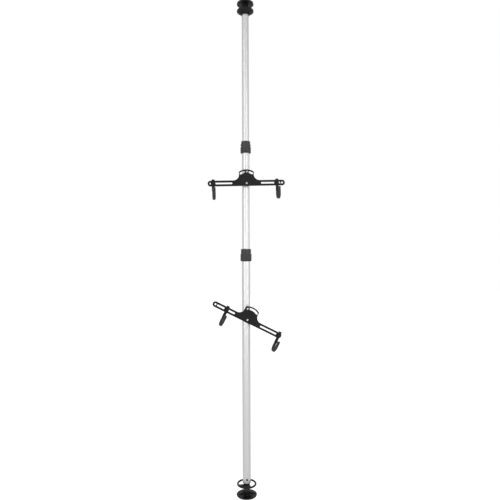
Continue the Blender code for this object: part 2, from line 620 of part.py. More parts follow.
def build_top(base, tilt_x, tilt_y):
    sleeve_in = TOP_OD / 2 + FIT
    sleeve_out = sleeve_in + CAP_SLEEVE_WALL
    stem_bore = STUD_STEM_R + FIT
    ceiling = TOP_TOP + FIT
    cap = make_object("top_cap", turned([
        (sleeve_in, CAP_BOTTOM), (sleeve_out, CAP_BOTTOM), (sleeve_out, CAP_CONE_BOTTOM),
        (CAP_RIM_R - CAP_RIM_EDGE, CAP_RIM_BOTTOM), (CAP_RIM_R, CAP_RIM_BOTTOM), (CAP_RIM_R, CAP_TOP),
        (stem_bore, CAP_TOP), (stem_bore, ceiling), (sleeve_in, ceiling)]), BLACK_PLASTIC, base)
    ribs = make_object("cap_rib_tool", rib_ring(
        CAP_RIBS, sleeve_out - SINK, CAP_RIB_R, RIB_THICK, CAP_RIM_BOTTOM + SINK,
        CAP_RIB_BOTTOM, CAP_RIM_BOTTOM - EDGE / 2), None, base)
    boolean(cap, ribs, "UNION")

    tail = ceiling - STUD_TAIL
    ball = ball_profile(STUD_BALL_R, STUD_BALL_Z, -acos(STUD_NECK_R / STUD_BALL_R), pi / 2)
    make_object("ball_stud", turned([
        (0, tail), (STUD_STEM_R, tail), (STUD_STEM_R, CAP_TOP + FIT),
        (STUD_NECK_R, CAP_TOP + FIT)] + ball), BLACK_STEEL, base)
    nut_top = ceiling - FIT
    nut = make_object("ball_stud_nut", prism(
        arc((0, 0), STUD_NUT_R, 0, 2 * pi, 6)[:-1], nut_top - STUD_NUT_H, nut_top), ZINC_STEEL, base)
    boolean(nut, make_object("stud_nut_drill", rod(stem_bore, tail - CUT, CAP_TOP), None, base))

    origin = (0, 0, -STUD_BALL_Z)
    make_object("ceiling_liner", turned(
        shell_zone(STUD_SEAT_R, STUD_SEAT_R + STUD_LINER, STUD_BALL_Z, *STUD_LINER_ZONE)),
        NYLON, tilt_x, origin)
    cup = ball_profile(CUP_IN, STUD_BALL_Z, -asin(CUP_BELOW / CUP_IN), pi / 2)
    plate_top = CEILING_PLATE_BOTTOM + CEILING_PLATE_THICK
    make_object("ceiling_plate", turned(cup[::-1] + [
        (CUP_R, cup[0][1]), (CUP_R, CEILING_PLATE_BOTTOM), (CEILING_R - EDGE, CEILING_PLATE_BOTTOM),
        (CEILING_R, CEILING_PLATE_BOTTOM + EDGE), (CEILING_R, plate_top), (0, plate_top)]),
        BLACK_PLASTIC, tilt_y, origin)
    make_object("ceiling_pad", turned([
        (0, plate_top + FIT), (CEILING_PAD_R, plate_top + FIT),
        (CEILING_PAD_R, plate_top + FIT + CEILING_PAD_THICK - EDGE),
        (CEILING_PAD_R - EDGE, plate_top + FIT + CEILING_PAD_THICK),
        (0, plate_top + FIT + CEILING_PAD_THICK)]), BLACK_RUBBER, tilt_y, origin)


def plate_outline():
    """Straight arms with round ends and a dome whose corners flow into the arms."""
    corner_r = DOME_R - DOME_CORNER_R
    corner = (corner_r * sin(DOME_HALF), corner_r * cos(DOME_HALF))
    fillet_z = ARM_HALF + DOME_FILLET_R
    reach = DOME_FILLET_R + DOME_CORNER_R
    fillet_x = corner[0] + sqrt(reach ** 2 - (corner[1] - fillet_z) ** 2)
    meet = atan2(corner[1] - fillet_z, corner[0] - fillet_x)
    right = arc((ARM_END, 0), ARM_HALF, -pi / 2, pi / 2, 8)
    right += arc((fillet_x, fillet_z), DOME_FILLET_R, -pi / 2, meet - 2 * pi, 8)
    right += arc(corner, DOME_CORNER_R, meet - pi, pi / 2 - DOME_HALF, 6)[1:]
    crown = arc((0, 0), DOME_R, pi / 2 - DOME_HALF, pi / 2 + DOME_HALF, 10)[1:-1]
    left = [(-x, z) for x, z in right[::-1]]
    return right + crown + left


def slot_outline(start, end, width):
    right = arc((end - width / 2, 0), width / 2, -pi / 2, pi / 2, 6)
    return right + arc((start + width / 2, 0), width / 2, pi / 2, 3 * pi / 2, 6)


def arc_slot_outline():
    low = pi / 2 - ARC_HALF
    high = pi / 2 + ARC_HALF
    outer = arc((0, 0), ARC_R + ARC_WIDTH / 2, low, high, 12)
    inner = arc((0, 0), ARC_R - ARC_WIDTH / 2, high, low, 12)
    left = arc((ARC_R * cos(high), ARC_R * sin(high)), ARC_WIDTH / 2, high, high + pi, 5)[1:-1]
    right = arc((ARC_R * cos(low), ARC_R * sin(low)), ARC_WIDTH / 2, low - pi, low, 5)[1:-1]
    return outer + left + inner + right


def build_clamp(prefix, slide, swing, tube_od):
    liner_in = tube_od / 2 + FIT
    liner_out = liner_in + CLAMP_LINER
    bore_r = liner_out + FIT
    low, high = 0.0, CLAMP_HEIGHT
    liner = make_object(prefix + "_clamp_liner", turned([
        (liner_in, low), (liner_out, low), (liner_out, high), (liner_in, high)]), BLACK_RUBBER, slide)
    boolean(liner, make_object(prefix + "_liner_slit", box(
        (0, -LINER_SLIT / 2, low - CUT), (tube_od, LINER_SLIT / 2, high + CUT)), None, slide))

    outer = bore_r + CLAMP_WALL
    bore = make_object(prefix + "_clamp_bore", rod(bore_r, low - 2 * CUT, high + 5 * CUT, ROUND), None, swing)
    ear_in = sqrt(outer ** 2 - EAR_THICK ** 2) - 2 * SINK

    front = make_object(prefix + "_clamp_front", prism(
        arc((0, 0), outer, pi + asin(CLAMP_SPLIT / outer), 2 * pi - asin(CLAMP_SPLIT / outer), CLAMP_ARC_STEPS),
        low, high), BLACK_STEEL, swing)
    rear = make_object(prefix + "_clamp_rear", prism(
        arc((0, 0), outer, asin(CLAMP_SPLIT / outer), pi - asin(CLAMP_SPLIT / outer), CLAMP_ARC_STEPS),
        low, high), BLACK_STEEL, swing)
    for obj, way in ((front, -1), (rear, 1)):
        ears = [box((min(side * ear_in, side * EAR_OUT), min(way * CLAMP_SPLIT, way * EAR_THICK), EAR_Z[0]),
                    (max(side * ear_in, side * EAR_OUT), max(way * CLAMP_SPLIT, way * EAR_THICK), EAR_Z[1]))
                for side in (-1, 1)]
        boolean(obj, make_object(obj.name + "_ear_tool", join(*ears), None, swing), "UNION")

    tip = arc((0, ARC_R), TAB_TIP_R, radians(20), radians(160), 8)
    tab = [(TAB_HALF, -BLOCK_DROP), (TAB_HALF, high)] + tip + [(-TAB_HALF, high), (-TAB_HALF, -BLOCK_DROP)]
    tab_tool = prism(tab, CLAMP_FACE_Y, CLAMP_FACE_Y + TAB_THICK, FACE_FRONT)
    block = box((-TAB_HALF, CLAMP_FACE_Y, -BLOCK_DROP), (TAB_HALF, -bore_r * 0.7, high))
    boolean(front, make_object(prefix + "_tab_tool", tab_tool, None, swing), "UNION")
    boolean(front, make_object(prefix + "_block_tool", block, None, swing), "UNION")
    boolean(front, bore)
    boolean(rear, bore)

    for side, where in ((-1, "left"), (1, "right")):
        place = Matrix.Translation((side * CLAMP_BOLT_OUT, 0, sum(EAR_Z) / 2)) @ ALONG_Y
        seat = EAR_THICK + FIT
        tip_y = -EAR_THICK - CLAMP_BOLT_TIP
        make_object(prefix + "_clamp_bolt_" + where, turned([
            (0, tip_y), (CLAMP_BOLT_R, tip_y), (CLAMP_BOLT_R, seat), (CLAMP_HEAD_R, seat),
            (CLAMP_HEAD_R, seat + CLAMP_HEAD_H), (0, seat + CLAMP_HEAD_H)], SCREW_FACETS, place),
            ZINC_STEEL, swing)
        drill = make_object(prefix + "_clamp_drill_" + where, rod(
            CLAMP_BOLT_R + FIT, tip_y - CUT, seat + CUT, SCREW_FACETS, place), None, swing)
        boolean(front, drill)
        boolean(rear, drill)

    back = PLATE_Y + PLATE_THICK / 2 + FIT
    spacer = make_object(prefix + "_pivot_spacer", rod(
        SPACER_R, CLAMP_FACE_Y - FIT, back, SMALL_ROUND, ALONG_Y), NYLON, swing)
    pad = rod(LOCK_PAD_R, back, CLAMP_FACE_Y + SINK, SMALL_ROUND,
              Matrix.Translation((0, 0, ARC_R)) @ ALONG_Y)
    boolean(front, make_object(prefix + "_pad_tool", pad, None, swing), "UNION")

    front_y = PLATE_Y - PLATE_THICK / 2 - FIT
    pivot_seat = -front_y
    pivot_tip = bore_r + PIVOT_TIP
    make_object(prefix + "_pivot_bolt", turned([
        (0, -pivot_seat - PIVOT_HEAD_H), (PIVOT_HEAD_R * 0.7, -pivot_seat - PIVOT_HEAD_H),
        (PIVOT_HEAD_R, -pivot_seat - PIVOT_HEAD_H * 0.4), (PIVOT_HEAD_R, -pivot_seat),
        (PIVOT_R, -pivot_seat), (PIVOT_R, -pivot_tip), (0, -pivot_tip)], SMALL_ROUND, ALONG_Y),
        ZINC_STEEL, swing)
    washer_y = front_y - LOCK_WASHER_THICK
    make_object(prefix + "_lock_washer", turned([
        (LOCK_BOLT_R + FIT, washer_y), (LOCK_WASHER_R - EDGE, washer_y), (LOCK_WASHER_R, washer_y + EDGE),
        (LOCK_WASHER_R, front_y), (LOCK_BOLT_R + FIT, front_y)], SMALL_ROUND, ALONG_Y),
        BLACK_PLASTIC, swing, (0, 0, ARC_R))
    head_y = washer_y - FIT
    lock_tip = CLAMP_FACE_Y + TAB_THICK + LOCK_BOLT_TIP
    make_object(prefix + "_lock_bolt", turned([
        (0, head_y - LOCK_HEAD_H), (LOCK_HEAD_R * 0.8, head_y - LOCK_HEAD_H),
        (LOCK_HEAD_R, head_y - LOCK_HEAD_H * 0.6), (LOCK_HEAD_R, head_y), (LOCK_BOLT_R, head_y),
        (LOCK_BOLT_R, lock_tip), (0, lock_tip)], SMALL_ROUND, ALONG_Y),
        ZINC_STEEL, swing, (0, 0, ARC_R))
    drills = make_object(prefix + "_front_drill", join(
        rod(PIVOT_R + FIT, -pivot_seat - CUT, -pivot_tip + FIT, SMALL_ROUND, ALONG_Y),
        rod(LOCK_BOLT_R + FIT, head_y, lock_tip + CUT, SMALL_ROUND,
            Matrix.Translation((0, 0, ARC_R)) @ ALONG_Y)), None, swing)
    boolean(front, drills)
    boolean(spacer, drills)


def build_plate(prefix, tilt):
    front = PLATE_Y - PLATE_THICK / 2
    back = PLATE_Y + PLATE_THICK / 2
    plate = make_object(prefix + "_plate", prism(plate_outline(), front, back, FACE_FRONT), BLACK_STEEL, tilt)
    before = front - CUT
    after = back + CUT
    cuts = [prism(slot_outline(SLOT_START, SLOT_END, SLOT_WIDTH), before, after, FACE_FRONT),
            prism(slot_outline(-SLOT_END, -SLOT_START, SLOT_WIDTH), before, after, FACE_FRONT),
            prism(arc_slot_outline(), before, after, FACE_FRONT)]
    for x, radius in ((-ARM_END, END_HOLE_R), (ARM_END, END_HOLE_R), (0, PIVOT_R + SLIDE_FIT)):
        cuts.append(rod(radius, before, after, SMALL_ROUND, Matrix.Translation((x, 0, 0)) @ ALONG_Y))
    boolean(plate, make_object(prefix + "_plate_cut", join(*cuts), None, tilt))


def hook_path(bar_y):
    """Centre line of a hook: lip over the arm, down the front, round the bend and up to the tip."""
    corner = arc((bar_y + LIP_BEND, BAR_TOP - LIP_BEND), LIP_BEND, pi / 2, pi, 3)
    down = [(bar_y, z) for z in BAR_TAPER]
    bend = arc((bar_y - HOOK_BEND_R, HOOK_BEND_Z), HOOK_BEND_R, 0, -pi, HOOK_BEND_STEPS)
    return [(bar_y + LIP_BACK, BAR_TOP)] + corner + down + bend + [(bar_y - 2 * HOOK_BEND_R, HOOK_BEND_Z + HOOK_TIP_RISE)]


def rounded_section(width, thick, corner):
    points = []
    for x, z, start in ((1, 1, 0), (-1, 1, pi / 2), (-1, -1, pi), (1, -1, 3 * pi / 2)):
        centre = (x * (width / 2 - corner), z * (thick / 2 - corner))
        points += arc(centre, corner, start, start + pi / 2, 1)
    return points


def flat_section(width, thick):
    x = width / 2
    z = thick / 2
    return [(x, z), (-x, z), (-x, -z), (x, -z)]


def build_hook(name, slide):
    front = PLATE_Y - PLATE_THICK / 2 - FIT
    bar_y = front - BAR_THICK / 2
    path = hook_path(bar_y)
    wide = 1 + 4 + 1
    sections = [flat_section(BAR_WIDTH, BAR_THICK)] * wide
    sections += [flat_section(CORE_WIDTH, BAR_THICK)] * (len(path) - wide)
    hook = make_object(name, sweep(path, sections), BLACK_STEEL, slide)

    bend_start = len(path) - HOOK_BEND_STEPS - 2
    cover = [(bar_y, SLEEVE_TOP)] + path[bend_start:]
    tip = cover[-1]
    cover[-1] = (tip[0], tip[1] + SLEEVE_END)
    outer = sweep(cover, [rounded_section(SLEEVE_WIDTH, SLEEVE_THICK, SLEEVE_CORNER)] * len(cover))
    hollow = [(bar_y, SLEEVE_TOP + CUT)] + path[bend_start:]
    hollow[-1] = (tip[0], tip[1] + FIT)
    inner = sweep(hollow, [flat_section(CORE_WIDTH + 2 * FIT, BAR_THICK + 2 * FIT)] * len(hollow))
    sleeve = make_object(name + "_sleeve", outer, GREY_RUBBER, slide)
    boolean(sleeve, make_object(name + "_sleeve_core", inner, None, slide))

    back = PLATE_Y + PLATE_THICK / 2 + FIT
    collar_y = back + KNOB_COLLAR_H
    far_y = collar_y + KNOB_THICK
    steps = KNOB_LOBES * 4
    lobed = [(KNOB_R - KNOB_LOBE_DEPTH * (1 - cos(2 * pi * i / 4)) / 2,
              2 * pi * i / steps) for i in range(steps)]
    outline = [(r * cos(a), r * sin(a)) for r, a in lobed]
    knob = make_object(name + "_knob", prism(outline, collar_y, far_y, ALONG_Y), BLACK_PLASTIC, slide)
    stud = turned([(0, front - BAR_THICK - STUD_PROUD), (STUD_R, front - BAR_THICK - STUD_PROUD), (STUD_R, back),
                   (KNOB_COLLAR_R, back), (KNOB_COLLAR_R, collar_y + 2 * SINK), (0, collar_y + 2 * SINK)],
                  SMALL_ROUND, ALONG_Y)
    boolean(knob, make_object(name + "_knob_stud", stud, None, slide), "UNION")
    boolean(hook, make_object(name + "_hook_drill", rod(
        STUD_R + FIT, front - BAR_THICK - CUT, back, SMALL_ROUND, ALONG_Y), None, slide))


def build_bracket(prefix, base, pivot_z, yaw, tilt_angle, hooks, tube_od):
    slide = make_empty(prefix + "_height", base, (0, 0, pivot_z))
    swing = make_empty(prefix + "_swing", slide, (0, 0, 0), (0, 0, yaw))
    tilt = make_empty(prefix + "_tilt", swing, (0, 0, 0), (0, -tilt_angle, 0))
    build_clamp(prefix, slide, swing, tube_od)
    build_plate(prefix, tilt)
    for side, distance in zip(("left", "right"), hooks):
        name = prefix + "_hook_" + side
        build_hook(name, make_empty(name + "_slide", tilt, (distance, 0, 0)))


def build_stand():
    clear_scene()
    base = make_empty("pole_base")
    screw = make_empty("foot_screw", base)
    spin = make_empty("wheel_spin", screw)
    foot_x = make_empty("foot_tilt_x", screw, (0, 0, FOOT_BALL_Z))
    foot_y = make_empty("foot_tilt_y", foot_x)
    middle = make_empty("middle_slide", base)
    top = make_empty("top_slide", middle)
    ceiling_x = make_empty("ceiling_tilt_x", top, (0, 0, STUD_BALL_Z))
    ceiling_y = make_empty("ceiling_tilt_y", ceiling_x)

    build_foot(foot_x, foot_y)
    build_handwheel(spin)
    build_lower_tube(base)
    build_lock("lower", base, make_empty("lower_grip_turn", base), LOWER_OD, MIDDLE_OD, LOWER_TOP,
               LOWER_GRIP_R, LOWER_GRIP_Z, LOWER_CAP_R, LOWER_CAP_TOP, False)
    build_inner_tube("middle", middle, MIDDLE_OD, LOWER_OD, MIDDLE_BOTTOM, MIDDLE_TOP)
    build_lock("upper", middle, make_empty("upper_grip_turn", middle), MIDDLE_OD, TOP_OD, MIDDLE_TOP,
               UPPER_GRIP_R, UPPER_GRIP_Z, UPPER_CAP_R, UPPER_CAP_TOP, True)
    build_inner_tube("top", top, TOP_OD, MIDDLE_OD, TOP_BOTTOM, TOP_TOP)
    build_top(top, ceiling_x, ceiling_y)
    build_bracket("upper", middle, UPPER_PIVOT_Z, UPPER_YAW, UPPER_TILT, UPPER_HOOKS, MIDDLE_OD)
    build_bracket("lower", base, LOWER_PIVOT_Z, LOWER_YAW, LOWER_TILT, LOWER_HOOKS, LOWER_OD)


build_stand()
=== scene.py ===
import json
from math import acos, asin, atan2, cos, pi, radians, sin, sqrt, tan, tau

import bmesh
import bpy
from mathutils import Matrix, Vector

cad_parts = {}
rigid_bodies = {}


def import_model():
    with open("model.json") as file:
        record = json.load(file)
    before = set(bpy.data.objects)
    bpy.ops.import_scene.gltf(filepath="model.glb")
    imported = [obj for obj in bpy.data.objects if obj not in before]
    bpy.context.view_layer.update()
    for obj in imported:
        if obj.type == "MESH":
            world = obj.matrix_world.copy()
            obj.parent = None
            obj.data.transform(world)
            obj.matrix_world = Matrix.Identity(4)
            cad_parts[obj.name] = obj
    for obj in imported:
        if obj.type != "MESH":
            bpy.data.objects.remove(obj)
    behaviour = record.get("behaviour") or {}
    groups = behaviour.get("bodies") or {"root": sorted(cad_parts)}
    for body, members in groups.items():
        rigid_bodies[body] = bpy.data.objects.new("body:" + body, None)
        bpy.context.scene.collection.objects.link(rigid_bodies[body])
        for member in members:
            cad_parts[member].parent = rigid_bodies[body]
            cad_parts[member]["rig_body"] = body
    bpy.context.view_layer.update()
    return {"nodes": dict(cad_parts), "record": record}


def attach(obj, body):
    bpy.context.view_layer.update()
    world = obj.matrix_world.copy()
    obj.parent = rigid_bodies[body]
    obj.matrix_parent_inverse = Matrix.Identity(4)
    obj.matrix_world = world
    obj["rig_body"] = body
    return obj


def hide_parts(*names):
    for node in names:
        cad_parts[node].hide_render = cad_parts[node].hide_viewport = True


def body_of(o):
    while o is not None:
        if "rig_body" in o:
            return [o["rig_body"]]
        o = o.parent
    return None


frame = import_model()

# Sizes are in metres, in the frame of the CAD part: +Z runs up the pole, the brackets face -Y.
FIT = 0.0003
# Steps round a turned piece that is seen large, and round a screw or its hole
ROUND_STEPS = 128
SCREW_STEPS = 32

# Pole
TUBES = {
    "lower": {"outer": 0.0250, "bottom": 0.080, "top": 1.480},
    "middle": {"outer": 0.0230, "bottom": 1.120, "top": 2.136},
    "top": {"outer": 0.0210, "bottom": 1.880, "top": 2.9545},
}
TUBE_WALL = 0.0016

# Ring grooves in the faces of both pads
GROOVE_HALF = 0.001
GROOVE_DEPTH = 0.0007

# Foot
PAD_R = 0.0607
PAD_THICK = 0.0032
PAD_GROOVES = (0.014, 0.023, 0.032, 0.041, 0.050)
FOOT_R = 0.0622
FOOT_BOTTOM = PAD_THICK + FIT
FOOT_RIM = 0.003
FOOT_RIM_TOP = FOOT_BOTTOM + FOOT_RIM
FOOT_BALL_R = 0.011
FOOT_BALL_Z = 0.019
SOCKET_R = 0.0138
SOCKET_SPLIT = radians(2)
BOSS_R = 0.022
BOSS_SKIRT = 0.006
BOSS_TOP = 0.030
FOOT_RIBS = 6
FOOT_RIB_R = 0.0535
RIB_THICK = 0.0035

# Spindle and handwheel
SPINDLE_R = 0.008
SPINDLE_NECK_R = 0.0055
SPINDLE_NECK_TOP = 0.038
SPINDLE_TOP = 0.200
THREAD_PITCH = 0.004
THREAD_BOTTOM = 0.0705
THREAD_ROOT_R = 0.0067
THREAD_FLANK = 0.0012
THREAD_CREST = 0.0008
HUB_BOTTOM = 0.045
HUB_STEP = 0.056
HUB_TOP = 0.069
HUB_R = 0.0235
HUB_NECK_R = 0.0195
RING_OUTER_R = 0.0603
RING_ROD_R = 0.0058
WHEEL_VOXEL = 0.0008
WEB_ANGLE = radians(199)
WEB_RISE = 0.007
WEB_LAP = 0.003
WEB_THICK = 0.007
WEB_HALF_AT_HUB = 0.013
WEB_HALF_AT_RING = 0.010

# End plug
PLUG_PLAY = 0.0004
PLUG_NECK_R = 0.0185
PLUG_NECK_BOTTOM = 0.072
PLUG_FLANGE = 0.002
PLUG_TOP = 0.114
PLUG_SCREW_Z = 0.103
PLUG_SCREW_AZ = radians(-3)
PLUG_SCREW_R = 0.0025
PLUG_SCREW_TIP = 0.0133
PLUG_HOLE_R = 0.0028
PLUG_HEAD_R = 0.0062
RECESS = (0.0032, 0.0006)
RECESS_BOTTOM = 0.0011

# Twist locks
LOCKS = {
    "lower": {"outer": 0.0250, "inner": 0.0230, "tube_top": 1.480, "grip_r": 0.0340,
              "grip": (1.434, 1.475), "cap_r": 0.0310, "cap_top": 1.5055},
    "upper": {"outer": 0.0230, "inner": 0.0210, "tube_top": 2.136, "grip_r": 0.0319,
              "grip": (2.094, 2.128), "cap_r": 0.0282, "cap_top": 2.1625},
}
LOCK_PLAY = 0.0004
LOCK_WALL = 0.0024
LOCK_FLANGE = 0.0035
LOCK_LIP = 0.003
LUG_HALF = 0.003
LUG_Y = 0.005
LUG_Z = (0.008, 0.017)
GRIP_RIBS = 20
GRIP_RIB_DEPTH = 0.0016
# Share of one rib's width from its middle, and share of the depth there
RIB_SHOULDERS = ((-0.27, 0.03), (-0.16, 0), (0, 0), (0.16, 0), (0.27, 0.03), (0.315, 0.25),
                 (0.35, 0.75), (0.395, 0.97), (0.5, 1), (0.605, 0.97), (0.65, 0.75), (0.685, 0.25))

# Ceiling cap, ball stud and plate
CAP_BOTTOM = 2.9355
CAP_SLEEVE_IN = 0.0213
CAP_SLEEVE_OUT = 0.0255
CAP_SLEEVE_TOP = 2.947
CAP_SEAT = 2.9548
CAP_RIM_R = 0.0512
CAP_RIM_BOTTOM = 2.957
CAP_TOP = 2.964
CAP_BORE_R = 0.0053
CAP_RIBS = 8
CAP_RIB_R = 0.046
CAP_RIB_BOTTOM = 2.940
STUD_BOTTOM = 2.9428
STUD_SHANK_R = 0.005
STUD_COLLAR_R = 0.0075
STUD_BALL_R = 0.016
STUD_BALL_Z = 2.982
LINER_GAP = (0.0006, 0.00155)
LINER_BAND = (-0.002, 0.011)
CUP_GAP = 0.00215
CUP_LIP = 0.005
CUP_R = 0.0196
CEILING_R = 0.0510
CEILING_BOTTOM = 3.001
CEILING_THICK = 0.005
CEILING_PAD_R = 0.0495
CEILING_PAD_THICK = 0.0037
CEILING_PAD_GROOVES = (0.042, 0.034, 0.026, 0.018)

# Brackets
PIVOT_Z = {"upper": 1.9035, "lower": 1.0765}
YAW = {"upper": 0.0, "lower": radians(3)}
TILT = {"upper": radians(2), "lower": radians(-27.3)}
HOOK_X = {"upper": {"left": -0.2025, "right": 0.186}, "lower": {"left": -0.142, "right": 0.2185}}
TUBE_R = {"upper": 0.0230, "lower": 0.0250}
PLATE_FRONT = -0.042
PLATE_BACK = -0.038
PLATE_CUT = (0.03, 0.05)
ARM_HALF = 0.0172
ARM_END = 0.2185
END_HOLE_R = 0.006
PIVOT_R = 0.004
PIVOT_HEAD_R = 0.0068
PIVOT_HEAD_TOP = 0.004
PIVOT_KEY_R = 0.0022
PIVOT_HOLE_R = 0.0044
SLOT = (0.087, 0.2075, 0.010)
ARC_R = 0.068
ARC_HALF = radians(30.5)
ARC_WIDTH = 0.012
DOME_R = 0.0828
DOME_CORNER_R = 0.011
DOME_HALF = radians(29)
DOME_FILLET_R = 0.036

# Clamps
CLAMP_LINER_THICK = 0.002
CLAMP_LINER_SLIT = 0.0015
CLAMP_TOP = 0.040
CLAMP_WALL = 0.006
CLAMP_FACE_Y = -0.0345
CLAMP_SPLIT = 0.0012
EAR_Z = (0.008, 0.030)
EAR_OUT = 0.047
EAR_THICK = 0.011
TAB_HALF = 0.018
TAB_BOTTOM = -0.010
TONGUE_BOTTOM = -0.008
TONGUE_R = 0.011
TONGUE_THICK = 0.005
LOCK_BOSS_R = 0.009
CLAMP_BOLT_OUT = 0.0405
CLAMP_BOLT_Z = 0.019
CLAMP_BOLT_TIP = -0.013
CLAMP_BOLT_HEAD_R = 0.006
CLAMP_BOLT_HEAD_TOP = EAR_THICK + 0.0063
CLAMP_BOLT_KEY_R = 0.0030
SHANK_R = 0.0038
SHANK_HOLE_R = 0.0041
SPACER_R = 0.014
SPACER_BORE_R = 0.0043
WASHER_R = 0.012
WASHER_THICK = 0.0025
LOCK_BOLT_TIP = 0.0290
LOCK_BOLT_HEAD_R = 0.0052
LOCK_BOLT_HEAD_THICK = 0.0035
LOCK_BOLT_KEY_R = 0.0025

# Hooks
BAR_THICK = 0.004
BAR_WIDTH = 0.018
CORE_WIDTH = 0.012
BAR_Y = PLATE_FRONT - FIT - BAR_THICK / 2
LIP_TOP = 0.0225
LIP_BEND_R = 0.003
LIP_END = 0.011
SHOULDER_Z = (-0.047, -0.051)
HOOK_BEND_R = 0.029
HOOK_BEND_Z = -0.0665
HOOK_TIP = -0.034
SLEEVE_WIDTH = 0.0165
SLEEVE_THICK = 0.011
SLEEVE_TOP = -0.0515
SLEEVE_END = 0.004
KNOB_R = 0.016
KNOB_STEPS = 112
KNOB_LOBES = 7
KNOB_LOBE_DEPTH = 0.002
KNOB_THICK = 0.010
KNOB_RIM = 0.004
KNOB_DISH = 0.0010
KNOB_COLLAR_R = 0.010
KNOB_COLLAR_THICK = 0.003
STUD_R = 0.004
STUD_CHAMFER = 0.0006

# Room: the floor lies under the lowest place of the foot, 40 mm down with its pad tilted, so that
# no pose of the foot goes through it
FLOOR_SIZE = 30
FLOOR_HEIGHT = -0.052

# Where each softbox stands, what it faces, its width and height, and its watts. A weak broad panel
# fills from the front, and two narrow boxes as tall as the pole draw the two bright lines along
# the tubes.
SOFTBOXES = {
    "front_panel": ((-0.4, -3.7, 1.6), (-0.4, 0, 1.6), (3.4, 2.6), 8),
    "left_softbox": ((-2.4, -2.2, 2.3), (0, 0, 2.3), (0.6, 4.0), 26),
    "right_softbox": ((1.1, -3.1, 2.3), (0, 0, 2.3), (0.5, 4.0), 20),
    "side_softbox": ((2.9, -1.6, 1.9), (0, 0, 1.9), (0.7, 2.8), 10),
    "top_softbox": ((0.3, 0.9, 4.2), (0, 0, 1.5), (1.6, 1.6), 8),
}

# The camera looks level, a little from the left, and frames the stand by its shift
CAMERA_AT = (-0.397, -2.822, 1.469)
CAMERA_TURN = radians(-8.5)
CAMERA_ROLL = radians(-0.19)
CAMERA_LENS = 33.5
CAMERA_SHIFT = 0.0100

UPRIGHT = Matrix.Rotation(pi / 2, 4, "X")       # an XY outline stands up and faces -Y
ALONG_Y = Matrix.Rotation(-pi / 2, 4, "X")      # a piece turned round Z points to +Y
SIDEWAYS = Matrix(((0, 0, 1, 0), (1, 0, 0, 0), (0, 1, 0, 0), (0, 0, 0, 1)))  # an XY outline to YZ
HERE = Matrix.Identity(4)


# Modelling helpers

def clear_selection():
    if bpy.context.mode != "OBJECT":
        bpy.ops.object.mode_set(mode="OBJECT")
    bpy.ops.object.select_all(action="DESELECT")


def activate(piece):
    clear_selection()
    piece.select_set(True)
    bpy.context.view_layer.objects.active = piece


def draw_line(name, points, closed=True):
    """Draws a line through the points by extruding one vertex on and on."""
    points = [Vector(p) for p in points]
    clear_selection()
    bpy.ops.mesh.primitive_plane_add(size=0.0002, location=points[0])
    piece = bpy.context.object
    piece.name = name
    piece.data.name = name
    bpy.ops.object.transform_apply(location=True, rotation=False, scale=False)
    bpy.ops.object.mode_set(mode="EDIT")
    bpy.ops.mesh.select_all(action="SELECT")
    bpy.ops.mesh.merge(type="CENTER")
    for before, after in zip(points, points[1:]):
        bpy.ops.mesh.extrude_region_move(TRANSFORM_OT_translate={"value": after - before})
    if closed:
        select_verts(piece, lambda vert, last: vert.index in (0, last))
        bpy.ops.mesh.edge_face_add()
    bpy.ops.mesh.select_all(action="SELECT")
    return piece


def select_verts(piece, test):
    """Selects the vertices that pass the test, in edit mode."""
    mesh = bmesh.from_edit_mesh(piece.data)
    mesh.verts.ensure_lookup_table()
    last = len(mesh.verts) - 1
    for vert in mesh.verts:
        vert.select = bool(test(vert, last))
    mesh.select_flush_mode()
    mesh.select_flush(True)
    bmesh.update_edit_mesh(piece.data)


def leave_edit(piece):
    bpy.ops.mesh.select_all(action="SELECT")
    bpy.ops.mesh.remove_doubles(threshold=1e-6)
    bpy.ops.mesh.normals_make_consistent(inside=False)
    bpy.ops.object.mode_set(mode="OBJECT")
    return piece


def place(piece, matrix):
    """Moves a piece and bakes the place into its mesh, so that its object stays at the origin."""
    activate(piece)
    piece.matrix_world = matrix @ piece.matrix_world
    bpy.ops.object.transform_apply(location=True, rotation=True, scale=True)
    return piece


def turned(name, profile, steps=96, matrix=HERE):
    """Spins a closed (radius, height) profile round the Z axis."""
    piece = draw_line(name, [(r, 0, z) for r, z in profile])
    bpy.ops.mesh.spin(steps=steps, angle=tau, center=(0, 0, 0), axis=(0, 0, 1))
    return place(leave_edit(piece), matrix)


def slab(name, outline, low, high, matrix=HERE):
    """Fills an outline drawn in the XY plane and extrudes it from low to high."""
    piece = draw_line(name, [(x, y, low) for x, y in outline])
    bpy.ops.mesh.edge_face_add()
    bpy.ops.mesh.extrude_region_move(TRANSFORM_OT_translate={"value": (0, 0, high - low)})
    return place(leave_edit(piece), matrix)


def block(name, low, high, matrix=HERE):
    outline = [(low[0], low[1]), (high[0], low[1]), (high[0], high[1]), (low[0], high[1])]
    return slab(name, outline, low[2], high[2], matrix)


def disc(name, radius, low, high, matrix=HERE, vertices=64):
    clear_selection()
    bpy.ops.mesh.primitive_cylinder_add(vertices=vertices, radius=radius, depth=high - low,
                                        location=(0, 0, (low + high) / 2))
    piece = bpy.context.object
    piece.name = name
    return place(piece, matrix)


def apply_modifier(piece, kind, **settings):
    activate(piece)
    modifier = piece.modifiers.new(kind.title(), kind)
    for key, value in settings.items():
        setattr(modifier, key, value)
    bpy.ops.object.modifier_apply(modifier=modifier.name)


def combine(piece, tool, operation="DIFFERENCE"):
    apply_modifier(piece, "BOOLEAN", operation=operation, solver="EXACT", object=tool)
    bpy.data.objects.remove(tool, do_unlink=True)


def drill(piece, radius, low, high, matrix=HERE, vertices=64):
    combine(piece, disc("drill", radius, low, high, matrix, vertices))


def join(pieces):
    """Gathers pieces that don't touch in the first one."""
    activate(pieces[0])
    for piece in pieces[1:]:
        piece.select_set(True)
    bpy.ops.object.join()
    return pieces[0]


